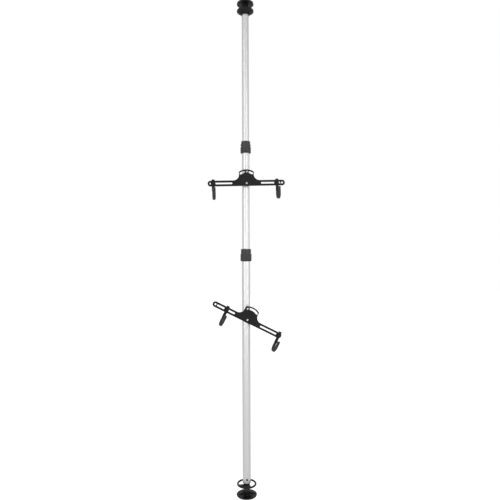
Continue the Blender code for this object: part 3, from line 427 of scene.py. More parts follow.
def round_edges(piece, width, segments=3, angle=40):
    apply_modifier(piece, "BEVEL", width=width, segments=segments, limit_method="ANGLE",
                   angle_limit=radians(angle), use_clamp_overlap=True)


def copy_to(piece, name, matrix):
    clear_selection()
    twin = piece.copy()
    twin.data = piece.data.copy()
    twin.name = name
    twin.data.name = name
    bpy.context.scene.collection.objects.link(twin)
    return place(twin, matrix)


def discard(*pieces):
    for piece in pieces:
        bpy.data.objects.remove(piece, do_unlink=True)


def arc(centre, radius, start, end, steps):
    return [(centre[0] + radius * cos(start + (end - start) * i / steps),
             centre[1] + radius * sin(start + (end - start) * i / steps)) for i in range(steps + 1)]


def rounded(points, radius, steps=3):
    """Rounds the corners of a closed line, except those on the axis and those that hardly turn."""
    out = []
    for i, here in enumerate(points):
        corner = Vector(here)
        to_before = Vector(points[i - 1]) - corner
        to_after = Vector(points[(i + 1) % len(points)]) - corner
        turn = to_before.angle(to_after)
        if here[0] < 1e-9 or turn > radians(170):
            out.append(here)
            continue
        reach = min(radius / tan(turn / 2), 0.45 * to_before.length, 0.45 * to_after.length)
        start = corner + to_before.normalized() * reach
        end = corner + to_after.normalized() * reach
        for t in [i / steps for i in range(steps + 1)]:
            out.append(tuple((1 - t) ** 2 * start + 2 * t * (1 - t) * corner + t * t * end))
    return out


def ball_arc(radius, centre_z, low, high, steps=16):
    """Points of a ball's outline between two angles from its equator."""
    return [(max(r, 0.0), z) for r, z in arc((0, centre_z), radius, low, high, steps)]


def facing(azimuth, height):
    """Frame whose Z points out from the pole at an azimuth measured from -Y towards +X."""
    return Matrix.Translation((0, 0, height)) @ Matrix.Rotation(azimuth, 4, "Z") @ UPRIGHT


def swing_frame(bracket):
    return Matrix.Translation((0, 0, PIVOT_Z[bracket])) @ Matrix.Rotation(YAW[bracket], 4, "Z")


def tilt_frame(bracket):
    return swing_frame(bracket) @ Matrix.Rotation(-TILT[bracket], 4, "Y")


def finish_piece(piece, node, finish=None, angle=40):
    """Dresses a piece and lets it stand for its CAD node, on that node's body."""
    cad = frame["nodes"][node]
    name = NODE_SLOT[node]
    activate(piece)
    bpy.ops.object.shade_smooth_by_angle(angle=radians(angle))
    # Flat faces shade flat up to their rounded edges
    apply_modifier(piece, "WEIGHTED_NORMAL", keep_sharp=True)
    piece.name = node + "_shape"
    piece.data.name = piece.name
    piece.data.materials.clear()
    piece.data.materials.append(finish or SLOT_FINISH[name])
    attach(piece, body_of(cad)[0])
    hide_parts(node)


# Materials

def linear(hex_colour):
    """Turns an sRGB hex colour to Blender's linear values."""
    values = [int(hex_colour[i:i + 2], 16) / 255 for i in (1, 3, 5)]
    return (*(v / 12.92 if v <= 0.04045 else ((v + 0.055) / 1.055) ** 2.4 for v in values), 1.0)


def add_node(tree, kind, settings=(), **inputs):
    """Adds one node; an input named _0, _1 is taken by its place, and a socket given is linked."""
    node = tree.nodes.new(kind)
    for key, value in dict(settings).items():
        setattr(node, key, value)
    for key, value in inputs.items():
        socket = node.inputs[int(key[1:]) if key[0] == "_" else key.replace("_", " ")]
        if isinstance(value, bpy.types.NodeSocket):
            tree.links.new(value, socket)
        else:
            socket.default_value = value
    return node


def new_finish(name, **constants):
    """A material with the shader's constant values set on its own sockets."""
    finish = bpy.data.materials.new(name)
    finish.use_nodes = True
    shader = finish.node_tree.nodes["Principled BSDF"]
    for key, value in constants.items():
        shader.inputs[key.replace("_", " ")].default_value = value
    return finish, finish.node_tree, shader


def surface(tree, shader, colour=None, roughness=None, height=None, distance=0.0001, strength=0.5):
    """Links what varies over the surface."""
    if colour is not None:
        tree.links.new(colour, shader.inputs["Base Color"])
    if roughness is not None:
        tree.links.new(roughness, shader.inputs["Roughness"])
    if height is not None:
        bump = add_node(tree, "ShaderNodeBump", Height=height, Distance=distance, Strength=strength)
        tree.links.new(bump.outputs["Normal"], shader.inputs["Normal"])


def drawn_aluminium():
    # Silver-anodised drawn tube: the die leaves fine lines along it, and the anodising a satin
    # sheen with slow changes of gloss. Lines are 3 mm apart, coarser than real, so they show.
    finish, tree, shader = new_finish("silver_anodised_aluminium", Metallic=1.0)
    place_at = add_node(tree, "ShaderNodeTexCoord").outputs["Object"]
    along = add_node(tree, "ShaderNodeMapping", Vector=place_at, Scale=(330, 330, 1.5)).outputs[0]
    lines = add_node(tree, "ShaderNodeTexNoise", Vector=along, Scale=1.0, Detail=3.0).outputs["Fac"]
    slow = add_node(tree, "ShaderNodeTexNoise", Vector=place_at, Scale=9.0,
                    Detail=2.0).outputs["Fac"]
    mixed = add_node(tree, "ShaderNodeMath", {"operation": "MULTIPLY_ADD"},
                     _0=slow, _1=0.6, _2=lines)
    gloss = add_node(tree, "ShaderNodeMapRange", Value=mixed.outputs[0], _1=0.45, _2=1.15,
                     _3=0.40, _4=0.48)
    tint = add_node(tree, "ShaderNodeValToRGB", Fac=lines)
    tint.color_ramp.elements[0].position = 0.30
    tint.color_ramp.elements[0].color = linear("#E9E9EA")
    tint.color_ramp.elements[1].position = 0.70
    tint.color_ramp.elements[1].color = linear("#F1F1F2")
    surface(tree, shader, tint.outputs["Color"], gloss.outputs[0], lines, 0.00001, 0.10)
    return finish


def edge_mask(tree, radius):
    """1 on edges and 0 on flats, from how far a rounded normal leaves the true one."""
    rounded = add_node(tree, "ShaderNodeBevel", {"samples": 6}, Radius=radius).outputs[0]
    true = add_node(tree, "ShaderNodeNewGeometry").outputs["Normal"]
    dot = add_node(tree, "ShaderNodeVectorMath", {"operation": "DOT_PRODUCT"}, _0=rounded, _1=true)
    return add_node(tree, "ShaderNodeMapRange", Value=dot.outputs["Value"], _1=0.99,
                    _2=0.80).outputs[0]


def textured_black(name, base, worn_and_highlit_edge_colour, grain_mm, gloss, edge_wear_and_highlight_amount, relief, specular=0.35):
    """A dark finish with a fine grain, uneven gloss, and paler edges: edge wear, and on the charcoal
    collars also a painted highlight along the rib edges.
    """
    finish, tree, shader = new_finish(name, Specular_IOR_Level=specular)
    place_at = add_node(tree, "ShaderNodeTexCoord").outputs["Object"]
    grain = add_node(tree, "ShaderNodeTexNoise", Vector=place_at, Scale=1000 / grain_mm,
                     Detail=2.0).outputs["Fac"]
    patches = add_node(tree, "ShaderNodeTexNoise", Vector=place_at, Scale=28.0,
                       Detail=4.0).outputs["Fac"]
    edge = edge_mask(tree, 0.0012)
    # Edges are painted paler where the patches allow: wear, and on the charcoal collars also a painted
    # highlight on the rib edges
    rubbed_and_highlit_edges = add_node(tree, "ShaderNodeMath", {"operation": "MULTIPLY"}, _0=edge, _1=patches)
    amount = add_node(tree, "ShaderNodeMapRange", Value=rubbed_and_highlit_edges.outputs[0], _1=0.15, _2=0.75,
                      _3=0.0, _4=edge_wear_and_highlight_amount)
    colour = add_node(tree, "ShaderNodeMix", {"data_type": "RGBA"}, _0=amount.outputs[0],
                      _6=linear(base), _7=linear(worn_and_highlit_edge_colour))
    rough = add_node(tree, "ShaderNodeMapRange", Value=patches, _1=0.3, _2=0.7,
                     _3=gloss[0], _4=gloss[1])
    surface(tree, shader, colour.outputs[2], rough.outputs[0], grain, relief, 0.5)
    return finish


def zinc_plate():
    # Bright zinc on steel: pale and slightly blue, with cloudy changes of gloss.
    finish, tree, shader = new_finish("bright_zinc_plated_steel", Metallic=1.0)
    place_at = add_node(tree, "ShaderNodeTexCoord").outputs["Object"]
    cloud = add_node(tree, "ShaderNodeTexNoise", Vector=place_at, Scale=420.0,
                     Detail=4.0).outputs["Fac"]
    tint = add_node(tree, "ShaderNodeValToRGB", Fac=cloud)
    tint.color_ramp.elements[0].position = 0.35
    tint.color_ramp.elements[0].color = linear("#B9BCC2")
    tint.color_ramp.elements[1].position = 0.65
    tint.color_ramp.elements[1].color = linear("#D3D5D9")
    gloss = add_node(tree, "ShaderNodeMapRange", Value=cloud, _1=0.3, _2=0.7, _3=0.16, _4=0.32)
    surface(tree, shader, tint.outputs["Color"], gloss.outputs[0], cloud, 0.00002, 0.3)
    return finish


def white_nylon():
    # Natural nylon is a warm white that lets a little light in.
    finish, tree, shader = new_finish("natural_nylon", Subsurface_Weight=0.15,
                                      Subsurface_Radius=(0.002, 0.0018, 0.0015))
    place_at = add_node(tree, "ShaderNodeTexCoord").outputs["Object"]
    cloud = add_node(tree, "ShaderNodeTexNoise", Vector=place_at, Scale=160.0,
                     Detail=3.0).outputs["Fac"]
    tint = add_node(tree, "ShaderNodeValToRGB", Fac=cloud)
    tint.color_ramp.elements[0].color = linear("#DCD9CF")
    tint.color_ramp.elements[1].color = linear("#E9E7DF")
    gloss = add_node(tree, "ShaderNodeMapRange", Value=cloud, _1=0.3, _2=0.7, _3=0.38, _4=0.5)
    surface(tree, shader, tint.outputs["Color"], gloss.outputs[0], cloud, 0.00003, 0.3)
    return finish


ALUMINIUM = drawn_aluminium()
ZINC = zinc_plate()
NYLON = white_nylon()
# Matt black powder coat on steel plate: fine orange peel, thin and paler on the cut edges
POWDER_COAT = textured_black("black_powder_coat", "#0F1011", "#343537", 1.1, (0.42, 0.56), 0.5,
                             0.00006, 0.25)
# Charcoal glass-filled nylon collars: an even spark-eroded grain; the paler grey on the rib edges is
# partly wear and partly a painted highlight
CHARCOAL_NYLON = textured_black("charcoal_glass_filled_nylon", "#333437", "#5A5B5E", 0.8,
                                (0.30, 0.44), 0.7, 0.00004, 0.5)
# Black polypropylene foot, wheel and cap: smoother and glossier than the collars
BLACK_PLASTIC = textured_black("black_moulded_polypropylene", "#121213", "#2C2C2E", 0.9,
                               (0.26, 0.42), 0.4, 0.00003)
# Rubber pads: matt, with a fine chalky bloom
BLACK_RUBBER = textured_black("black_natural_rubber", "#141414", "#2A2A2A", 0.7, (0.68, 0.85), 0.5,
                              0.00008)
# Soft grey sleeves on the hooks: matt, slightly dusty
GREY_RUBBER = textured_black("dark_grey_soft_rubber", "#39393A", "#545455", 0.8, (0.55, 0.72), 0.5,
                             0.00008)
# Black oxide on the small screw and the ball stud: dark, smooth steel
BLACK_OXIDE = textured_black("black_oxide_steel", "#101011", "#4B4B4D", 0.5, (0.18, 0.30), 0.4,
                             0.00002)

SLOT_FINISH = {
    "black_plastic": BLACK_PLASTIC, "charcoal_plastic": CHARCOAL_NYLON,
    "black_rubber": BLACK_RUBBER, "grey_rubber": GREY_RUBBER, "anodised_aluminium": ALUMINIUM,
    "powder_coated_steel": POWDER_COAT, "zinc_plated_steel": ZINC, "white_nylon": NYLON,
}
NODE_SLOT = {part["node"]: part["material_slot"] for part in frame["record"]["subparts"]}


def dress_cad_nodes():
    """Gives every CAD node its finish; those that no piece replaces are inside the stand."""
    for name, cad in frame["nodes"].items():
        if not cad.material_slots:
            cad.data.materials.append(None)
        for place_on_mesh in cad.material_slots:
            place_on_mesh.material = SLOT_FINISH[NODE_SLOT[name]]


# Foot

def rib_wheel(count, outline):
    """Radial ribs from a (radius, height) outline, with softened upper edges."""
    first = slab("rib", outline, -RIB_THICK / 2, RIB_THICK / 2, UPRIGHT)
    round_edges(first, 0.0007, 2)
    ribs = [copy_to(first, "rib", Matrix.Rotation(tau * i / count, 4, "Z")) for i in range(count)]
    discard(first)
    return join(ribs)


def grooves(middles, half, face, depth):
    """Outline points of ring grooves cut in a flat face."""
    outline = []
    for middle in middles:
        outline += [(middle - half, face), (middle - half, face + depth),
                    (middle + half, face + depth), (middle + half, face)]
    return outline


def build_foot():
    # Rubber pad: its underside has ring grooves that grip the floor
    tread = [(0, 0)] + grooves(PAD_GROOVES, GROOVE_HALF, 0, GROOVE_DEPTH)
    pad = tread + [(PAD_R, 0), (PAD_R, PAD_THICK), (0, PAD_THICK)]
    finish_piece(turned("pad", rounded(pad, 0.0007), ROUND_STEPS), "foot_pad")

    # Foot disc: a flat rim, a skirt that rises to the boss, and the lower half of the socket
    split = FOOT_BALL_Z - SOCKET_R * sin(SOCKET_SPLIT)
    bowl = ball_arc(SOCKET_R, FOOT_BALL_Z, -pi / 2, -SOCKET_SPLIT)
    plate = turned("plate", rounded([
        (0, FOOT_BOTTOM), (FOOT_R, FOOT_BOTTOM), (FOOT_R, FOOT_RIM_TOP),
        (FOOT_R - FOOT_RIM, FOOT_RIM_TOP), (BOSS_R + BOSS_SKIRT, FOOT_RIM_TOP + 0.001),
        (BOSS_R, FOOT_RIM_TOP + 0.005), (BOSS_R, split)], 0.0011) + bowl[::-1], ROUND_STEPS)
    rib_in, rib_low = BOSS_R - 0.002, FOOT_RIM_TOP - 0.0015
    ribs = rib_wheel(FOOT_RIBS, [(rib_in, rib_low), (FOOT_RIB_R, rib_low),
                                 (FOOT_RIB_R, FOOT_RIM_TOP + 0.001), (rib_in, split - 0.002)])
    combine(plate, ribs, "UNION")
    finish_piece(plate, "foot_plate")

    # Cap: the upper half of the socket, open at the top for the spindle's neck
    dome = ball_arc(SOCKET_R, FOOT_BALL_Z, 0, asin((BOSS_TOP - FOOT_BALL_Z) / SOCKET_R))
    dome[0] = (dome[0][0], split + FIT)
    shoulder = rounded([(BOSS_R - BOSS_SKIRT, BOSS_TOP), (BOSS_R, BOSS_TOP), (BOSS_R, split + FIT)],
                       0.0022, 6)
    finish_piece(turned("cap", dome + shoulder[4:], ROUND_STEPS), "socket_cap")


def build_spindle():
    # The ball, neck and core of the screw
    ball = ball_arc(FOOT_BALL_R, FOOT_BALL_Z, -pi / 2, acos(SPINDLE_NECK_R / FOOT_BALL_R))
    core = turned("core", ball + [
        (SPINDLE_NECK_R, SPINDLE_NECK_TOP), (SPINDLE_R, SPINDLE_NECK_TOP + 0.002),
        (SPINDLE_R, THREAD_BOTTOM - THREAD_FLANK), (THREAD_ROOT_R, THREAD_BOTTOM),
        (THREAD_ROOT_R, SPINDLE_TOP - 0.0008), (THREAD_ROOT_R - 0.0008, SPINDLE_TOP),
        (0, SPINDLE_TOP)])
    # One tooth, wound up along the core as a real thread
    root = THREAD_ROOT_R - 0.0003
    crest = THREAD_BOTTOM + THREAD_FLANK
    ridge = draw_line("ridge", [(root, 0, THREAD_BOTTOM), (SPINDLE_R, 0, crest),
                                (SPINDLE_R, 0, crest + THREAD_CREST),
                                (root, 0, crest + THREAD_CREST + THREAD_FLANK)])
    bpy.ops.object.mode_set(mode="OBJECT")
    turns = int((SPINDLE_TOP - THREAD_BOTTOM) / THREAD_PITCH) - 1
    apply_modifier(ridge, "SCREW", axis="Z", angle=tau, screw_offset=THREAD_PITCH,
                   iterations=turns, steps=40, render_steps=40)
    bpy.ops.object.mode_set(mode="EDIT")
    bpy.ops.mesh.select_all(action="SELECT")
    bpy.ops.mesh.fill_holes(sides=0)
    leave_edit(ridge)
    combine(core, ridge, "UNION")
    finish_piece(core, "foot_spindle")


def build_handwheel():
    # Ring, hub and web are one moulding: they are merged and then softened where they meet
    ring_r = RING_OUTER_R - RING_ROD_R
    clear_selection()
    bpy.ops.mesh.primitive_torus_add(major_radius=ring_r, minor_radius=RING_ROD_R,
                                     major_segments=160, minor_segments=28,
                                     location=(0, 0, HUB_TOP))
    wheel = place(bpy.context.object, HERE)
    bore = SPINDLE_R + FIT
    hub = turned("hub", rounded([
        (bore, HUB_BOTTOM), (HUB_R, HUB_BOTTOM), (HUB_R, HUB_STEP), (HUB_NECK_R, HUB_STEP + 0.002),
        (HUB_NECK_R, HUB_TOP), (bore, HUB_TOP)], 0.0016, 4), ROUND_STEPS)
    # The web slopes from the ring down to the hub
    reach = ring_r - HUB_NECK_R
    inner = -reach - WEB_LAP
    at = (Matrix.Rotation(WEB_ANGLE, 4, "Z") @ Matrix.Translation((ring_r, 0, HUB_TOP))
          @ Matrix.Rotation(-atan2(WEB_RISE, reach), 4, "Y"))
    web = slab("web", [(inner, -WEB_HALF_AT_HUB), (0, -WEB_HALF_AT_RING), (0, WEB_HALF_AT_RING),
                       (inner, WEB_HALF_AT_HUB)], -WEB_THICK / 2, WEB_THICK / 2, at)
    combine(wheel, hub, "UNION")
    combine(wheel, web, "UNION")
    apply_modifier(wheel, "REMESH", mode="VOXEL", voxel_size=WHEEL_VOXEL)
    apply_modifier(wheel, "SMOOTH", factor=0.5, iterations=6)
    finish_piece(wheel, "handwheel", angle=60)


def build_end_plug():
    bore = SPINDLE_R + PLUG_PLAY
    flange_r = TUBES["lower"]["outer"] - FIT
    inside = TUBES["lower"]["outer"] - TUBE_WALL - FIT
    top = TUBES["lower"]["bottom"] - FIT
    plug = turned("plug", rounded([
        (bore, PLUG_NECK_BOTTOM), (PLUG_NECK_R, PLUG_NECK_BOTTOM), (PLUG_NECK_R, top - PLUG_FLANGE),
        (flange_r, top - PLUG_FLANGE), (flange_r, top), (inside, top), (inside, PLUG_TOP),
        (bore, PLUG_TOP)], 0.0006))
    screw_at = facing(PLUG_SCREW_AZ, PLUG_SCREW_Z)
    drill(plug, PLUG_HOLE_R, 0.012, 0.030, screw_at, SCREW_STEPS)
    finish_piece(plug, "end_plug")

    # Pan head with a cross recess
    seat = TUBES["lower"]["outer"] + FIT
    screw = turned("screw", [
        (0, PLUG_SCREW_TIP), (PLUG_SCREW_R, PLUG_SCREW_TIP), (PLUG_SCREW_R, seat),
        (PLUG_HEAD_R, seat), (PLUG_HEAD_R, seat + 0.0008), (PLUG_HEAD_R - 0.0003, seat + 0.0014),
        (PLUG_HEAD_R - 0.0010, seat + 0.0020), (PLUG_HEAD_R - 0.0022, seat + 0.0024),
        (0, seat + 0.0026)], 48)
    for turn in (0, pi / 2):
        combine(screw, block("recess", (-RECESS[0], -RECESS[1], seat + RECESS_BOTTOM),
                             (*RECESS, seat + 0.004), Matrix.Rotation(turn, 4, "Z")))
    finish_piece(place(screw, screw_at), "plug_screw", BLACK_OXIDE)


# Pole

def build_tubes():
    for name, tube in TUBES.items():
        inner = tube["outer"] - TUBE_WALL
        wall = [(inner, tube["bottom"]), (tube["outer"], tube["bottom"]),
                (tube["outer"], tube["top"]), (inner, tube["top"])]
        piece = turned("tube", rounded(wall, 0.0004, 2), ROUND_STEPS)
        if name == "lower":
            drill(piece, PLUG_HOLE_R, 0.020, 0.030, facing(PLUG_SCREW_AZ, PLUG_SCREW_Z), SCREW_STEPS)
        finish_piece(piece, name + "_tube")


def build_lock(name):
    lock = LOCKS[name]
    sleeve = lock["outer"] + FIT
    neck = sleeve + LOCK_WALL
    bore = lock["inner"] + LOCK_PLAY
    low, high = lock["grip"]
    cap_r, cap_top = lock["cap_r"], lock["cap_top"]
    # Body: a flange under the grip, a neck inside it and a cap above it
    body = turned("body", rounded([
        (sleeve, low - LOCK_FLANGE), (lock["grip_r"] - 0.0035, low - LOCK_FLANGE),
        (lock["grip_r"] - 0.003, low - FIT), (neck, low - FIT), (neck, high + FIT),
        (cap_r, high + FIT), (cap_r, cap_top - 0.006), (cap_r - 0.0007, cap_top - 0.0055),
        (cap_r - 0.0007, cap_top), (bore, cap_top), (bore, cap_top - LOCK_LIP),
        (sleeve - 0.001, cap_top - LOCK_LIP), (sleeve, lock["tube_top"] + FIT)], 0.0007), ROUND_STEPS)
    if name == "upper":
        for side in (-1, 1):
            lug = block("lug", (side * cap_r - LUG_HALF, -LUG_Y, high + LUG_Z[0]),
                        (side * cap_r + LUG_HALF, LUG_Y, high + LUG_Z[1]))
            round_edges(lug, 0.0012)
            combine(body, lug, "UNION")
    finish_piece(body, name + "_lock_body")

    # Grip: ribs with rounded shoulders, their ends chamfered all round
    outline = []
    for i in range(GRIP_RIBS):
        for share, depth in RIB_SHOULDERS:
            radius = lock["grip_r"] - depth * GRIP_RIB_DEPTH
            angle = tau * (i + share) / GRIP_RIBS
            outline.append((radius * cos(angle), radius * sin(angle)))
    grip = slab("grip", outline, low, high)
    drill(grip, neck + FIT, low - 0.01, high + 0.01, vertices=ROUND_STEPS)
    round_edges(grip, 0.0009, 3, 60)
    finish_piece(grip, name + "_lock_grip")


# Ceiling end

def build_ceiling_end():
    cap = turned("cap", rounded([
        (CAP_SLEEVE_IN, CAP_BOTTOM), (CAP_SLEEVE_OUT, CAP_BOTTOM), (CAP_SLEEVE_OUT, CAP_SLEEVE_TOP),
        (CAP_RIM_R - 0.004, CAP_RIM_BOTTOM), (CAP_RIM_R, CAP_RIM_BOTTOM), (CAP_RIM_R, CAP_TOP),
        (CAP_BORE_R, CAP_TOP), (CAP_BORE_R, CAP_SEAT), (CAP_SLEEVE_IN, CAP_SEAT)], 0.0009), ROUND_STEPS)
    rib_in, rib_top = CAP_SLEEVE_OUT - 0.001, CAP_RIM_BOTTOM + 0.001
    ribs = rib_wheel(CAP_RIBS, [(rib_in, rib_top), (rib_in, CAP_RIB_BOTTOM),
                                (CAP_RIB_R, CAP_RIM_BOTTOM - 0.0005), (CAP_RIB_R, rib_top)])
    combine(cap, ribs, "UNION")
    finish_piece(cap, "top_cap")

    seat = CAP_TOP + FIT
    stud = turned("stud", [
        (0, STUD_BOTTOM), (STUD_SHANK_R - STUD_CHAMFER, STUD_BOTTOM),
        (STUD_SHANK_R, STUD_BOTTOM + STUD_CHAMFER), (STUD_SHANK_R, seat), (STUD_COLLAR_R, seat)]
        + ball_arc(STUD_BALL_R, STUD_BALL_Z, -acos(STUD_COLLAR_R / STUD_BALL_R), pi / 2, 24))
    finish_piece(stud, "ball_stud", BLACK_OXIDE)

    # Nylon band round the middle of the ball
    faces = []
    for gap in LINER_GAP:
        radius = STUD_BALL_R + gap
        low, high = [asin(z / radius) for z in LINER_BAND]
        faces.append(ball_arc(radius, STUD_BALL_Z, low, high))
    finish_piece(turned("liner", faces[1] + faces[0][::-1]), "ceiling_liner")

    # Ceiling disc with the cup that holds the ball
    cup_in = STUD_BALL_R + CUP_GAP
    cup = ball_arc(cup_in, STUD_BALL_Z, -asin(CUP_LIP / cup_in), pi / 2, 20)
    lip_z = cup[0][1]
    top = CEILING_BOTTOM + CEILING_THICK
    plate = turned("plate", cup[::-1] + rounded([
        (CUP_R - 0.0005, lip_z), (CUP_R, lip_z + 0.0005), (CUP_R, CEILING_BOTTOM - 0.001),
        (CUP_R + 0.002, CEILING_BOTTOM), (CEILING_R, CEILING_BOTTOM), (CEILING_R, top),
        (CEILING_R - 0.002, top)], 0.001)[2:] + [(0, top)], ROUND_STEPS)
    finish_piece(plate, "ceiling_plate")

    # Rubber pad: its upper face has ring grooves that grip the ceiling
    low = top + FIT
    high = low + CEILING_PAD_THICK
    tread = [(0, low), (CEILING_PAD_R, low), (CEILING_PAD_R, high)]
    tread += grooves(CEILING_PAD_GROOVES, -GROOVE_HALF, high, -GROOVE_DEPTH)
    finish_piece(turned("pad", rounded(tread + [(0, high)], 0.0007), ROUND_STEPS), "ceiling_pad")


# Brackets

def clamp_half(name, bore_r, way):
    """Half ring with a bolted ear on each side; way is -1 in front and 1 behind."""
    outer = bore_r + CLAMP_WALL
    split = asin(CLAMP_SPLIT / outer)
    half = slab(name, arc((0, 0), outer, split, pi - split, 48), 0, CLAMP_TOP)
    ear_in = sqrt(outer ** 2 - EAR_THICK ** 2) - 0.002
    for side in (-1, 1):
        outline = [(side * ear_in, CLAMP_SPLIT), (side * EAR_OUT, CLAMP_SPLIT),
                   (side * EAR_OUT, EAR_THICK), (side * ear_in, EAR_THICK)]
        ear = slab("ear", outline, *EAR_Z)
        round_edges(ear, 0.0015, 3)
        combine(half, ear, "UNION")
    if way < 0:
        place(half, Matrix.Rotation(pi, 4, "Z"))
    return half


def build_clamp(bracket):
    at = swing_frame(bracket)
    boss = Matrix.Translation((0, 0, ARC_R)) @ UPRIGHT
    liner_in = TUBE_R[bracket] + FIT
    liner_out = liner_in + CLAMP_LINER_THICK
    bore_r = liner_out + FIT

    # Rubber sleeve, slit on one side to go round the tube
    liner = turned("liner", rounded([(liner_in, 0), (liner_out, 0), (liner_out, CLAMP_TOP),
                                     (liner_in, CLAMP_TOP)], 0.0004, 2))
    combine(liner, block("slit", (0, -CLAMP_LINER_SLIT, -0.01),
                         (0.05, CLAMP_LINER_SLIT, CLAMP_TOP + 0.01)))
    liner_at = Matrix.Translation((0, 0, PIVOT_Z[bracket]))
    finish_piece(place(liner, liner_at), bracket + "_clamp_liner")

    # The front half carries the plate: a nose for the pivot and a tongue up to the lock screw
    rear = clamp_half("rear", bore_r, 1)
    front = clamp_half("front", bore_r, -1)
    combine(front, block("nose", (-TAB_HALF, CLAMP_FACE_Y, TAB_BOTTOM),
                         (TAB_HALF, -bore_r * 0.7, CLAMP_TOP)), "UNION")
    tongue = [(TAB_HALF, TONGUE_BOTTOM), (TAB_HALF, CLAMP_TOP)]
    tongue += arc((0, ARC_R), TONGUE_R, radians(20), radians(160), 24)
    tongue += [(-TAB_HALF, CLAMP_TOP), (-TAB_HALF, TONGUE_BOTTOM)]
    combine(front, slab("tongue", tongue, -CLAMP_FACE_Y - TONGUE_THICK, -CLAMP_FACE_Y, UPRIGHT),
            "UNION")
    combine(front, disc("boss", LOCK_BOSS_R, -CLAMP_FACE_Y - 0.001, -PLATE_BACK - FIT, boss, 48),
            "UNION")
    for half in (front, rear):
        drill(half, bore_r, -0.03, 0.08, vertices=ROUND_STEPS)
        round_edges(half, 0.0007, 2, 50)
        for side in (-1, 1):
            hole = Matrix.Translation((side * CLAMP_BOLT_OUT, 0, CLAMP_BOLT_Z)) @ UPRIGHT
            drill(half, SHANK_HOLE_R, -0.03, 0.03, hole, SCREW_STEPS)
    drill(front, SPACER_BORE_R, 0.020, 0.06, UPRIGHT, SCREW_STEPS)
    drill(front, SHANK_HOLE_R, 0.020, 0.06, boss, SCREW_STEPS)
    finish_piece(place(rear, at), bracket + "_clamp_rear")
    finish_piece(place(front, at), bracket + "_clamp_front")

    # Socket head screws through the ears, with their heads behind
    head, top = EAR_THICK + FIT, CLAMP_BOLT_HEAD_TOP
    bolt = turned("bolt", [
        (0, CLAMP_BOLT_TIP), (SHANK_R - 0.0004, CLAMP_BOLT_TIP), (SHANK_R, CLAMP_BOLT_TIP + 0.0004),
        (SHANK_R, head)] + rounded([(0.0045, head), (CLAMP_BOLT_HEAD_R, head),
                                    (CLAMP_BOLT_HEAD_R, top), (0.004, top)], 0.0008)[4:12]
        + [(0, top)], 48)
    drill(bolt, CLAMP_BOLT_KEY_R, EAR_THICK + 0.003, EAR_THICK + 0.01, vertices=6)
    for side, where in ((-1, "left"), (1, "right")):
        spot = at @ Matrix.Translation((side * CLAMP_BOLT_OUT, 0, CLAMP_BOLT_Z)) @ ALONG_Y
        finish_piece(copy_to(bolt, "bolt", spot), bracket + "_clamp_bolt_" + where)
    discard(bolt)

    # Pivot: nylon washer behind the plate, button head in front of it
    low, high = -CLAMP_FACE_Y + FIT, -PLATE_BACK - FIT
    spacer = turned("spacer", rounded([(SPACER_BORE_R, low), (SPACER_R, low), (SPACER_R, high),
                                       (SPACER_BORE_R, high)], 0.0005), 64, UPRIGHT)
    finish_piece(place(spacer, at), bracket + "_pivot_spacer")
    seat = -PLATE_FRONT + FIT
    button = [(PIVOT_HEAD_R, seat), (PIVOT_HEAD_R, seat + 0.0012)]
    button += arc((0.0028, seat + 0.0008), 0.0032, radians(20), pi / 2, 8)[2:]
    pivot = turned("pivot", [(0, bore_r + 0.0012), (PIVOT_R, bore_r + 0.0012), (PIVOT_R, seat)]
                   + button + [(0, seat + PIVOT_HEAD_TOP)], 64)
    drill(pivot, PIVOT_KEY_R, seat + 0.0018, seat + 0.01, vertices=6)
    finish_piece(place(pivot, at @ UPRIGHT), bracket + "_pivot_bolt")

    # Lock screw in the arc slot, on a black washer
    top = seat + WASHER_THICK
    washer = turned("washer", rounded([(SHANK_HOLE_R, seat), (WASHER_R, seat), (WASHER_R, top),
                                       (SHANK_HOLE_R, top)], 0.0009), 64)
    finish_piece(place(washer, at @ boss), bracket + "_lock_washer")
    head = top + FIT
    top = head + LOCK_BOLT_HEAD_THICK
    lock = turned("lock", [(0, LOCK_BOLT_TIP), (SHANK_R, LOCK_BOLT_TIP), (SHANK_R, head)]
                  + rounded([(0.0040, head), (LOCK_BOLT_HEAD_R, head), (LOCK_BOLT_HEAD_R, top),
                             (0.0030, top)], 0.0008)[4:12] + [(0, top)], 64)
    drill(lock, LOCK_BOLT_KEY_R, head + 0.0015, head + 0.01, vertices=6)
    finish_piece(place(lock, at @ boss), bracket + "_lock_bolt")


def plate_outline():
    """Straight arms with round ends and a dome whose corners flow into the arms."""
    corner_r = DOME_R - DOME_CORNER_R
    corner = (corner_r * sin(DOME_HALF), corner_r * cos(DOME_HALF))
    fillet_z = ARM_HALF + DOME_FILLET_R
    reach = DOME_FILLET_R + DOME_CORNER_R
    fillet_x = corner[0] + sqrt(reach ** 2 - (corner[1] - fillet_z) ** 2)
    meet = atan2(corner[1] - fillet_z, corner[0] - fillet_x)
    right = arc((ARM_END, 0), ARM_HALF, -pi / 2, pi / 2, 32)
    right += arc((fillet_x, fillet_z), DOME_FILLET_R, -pi / 2, meet - tau, 24)
    right += arc(corner, DOME_CORNER_R, meet - pi, pi / 2 - DOME_HALF, 20)[1:]
    crown = arc((0, 0), DOME_R, pi / 2 - DOME_HALF, pi / 2 + DOME_HALF, 28)[1:-1]
    return right + crown + [(-x, z) for x, z in right[::-1]]


def slot_outline(start, end, width):
    right = arc((end - width / 2, 0), width / 2, -pi / 2, pi / 2, 16)
    return right + arc((start + width / 2, 0), width / 2, pi / 2, 3 * pi / 2, 16)


def arc_slot_outline():
    low, high = pi / 2 - ARC_HALF, pi / 2 + ARC_HALF
    outer = arc((0, 0), ARC_R + ARC_WIDTH / 2, low, high, 32)
    inner = arc((0, 0), ARC_R - ARC_WIDTH / 2, high, low, 32)
    left = arc((ARC_R * cos(high), ARC_R * sin(high)), ARC_WIDTH / 2, high, high + pi, 16)[1:-1]
    right = arc((ARC_R * cos(low), ARC_R * sin(low)), ARC_WIDTH / 2, low - pi, low, 16)[1:-1]
    return outer + left + inner + right


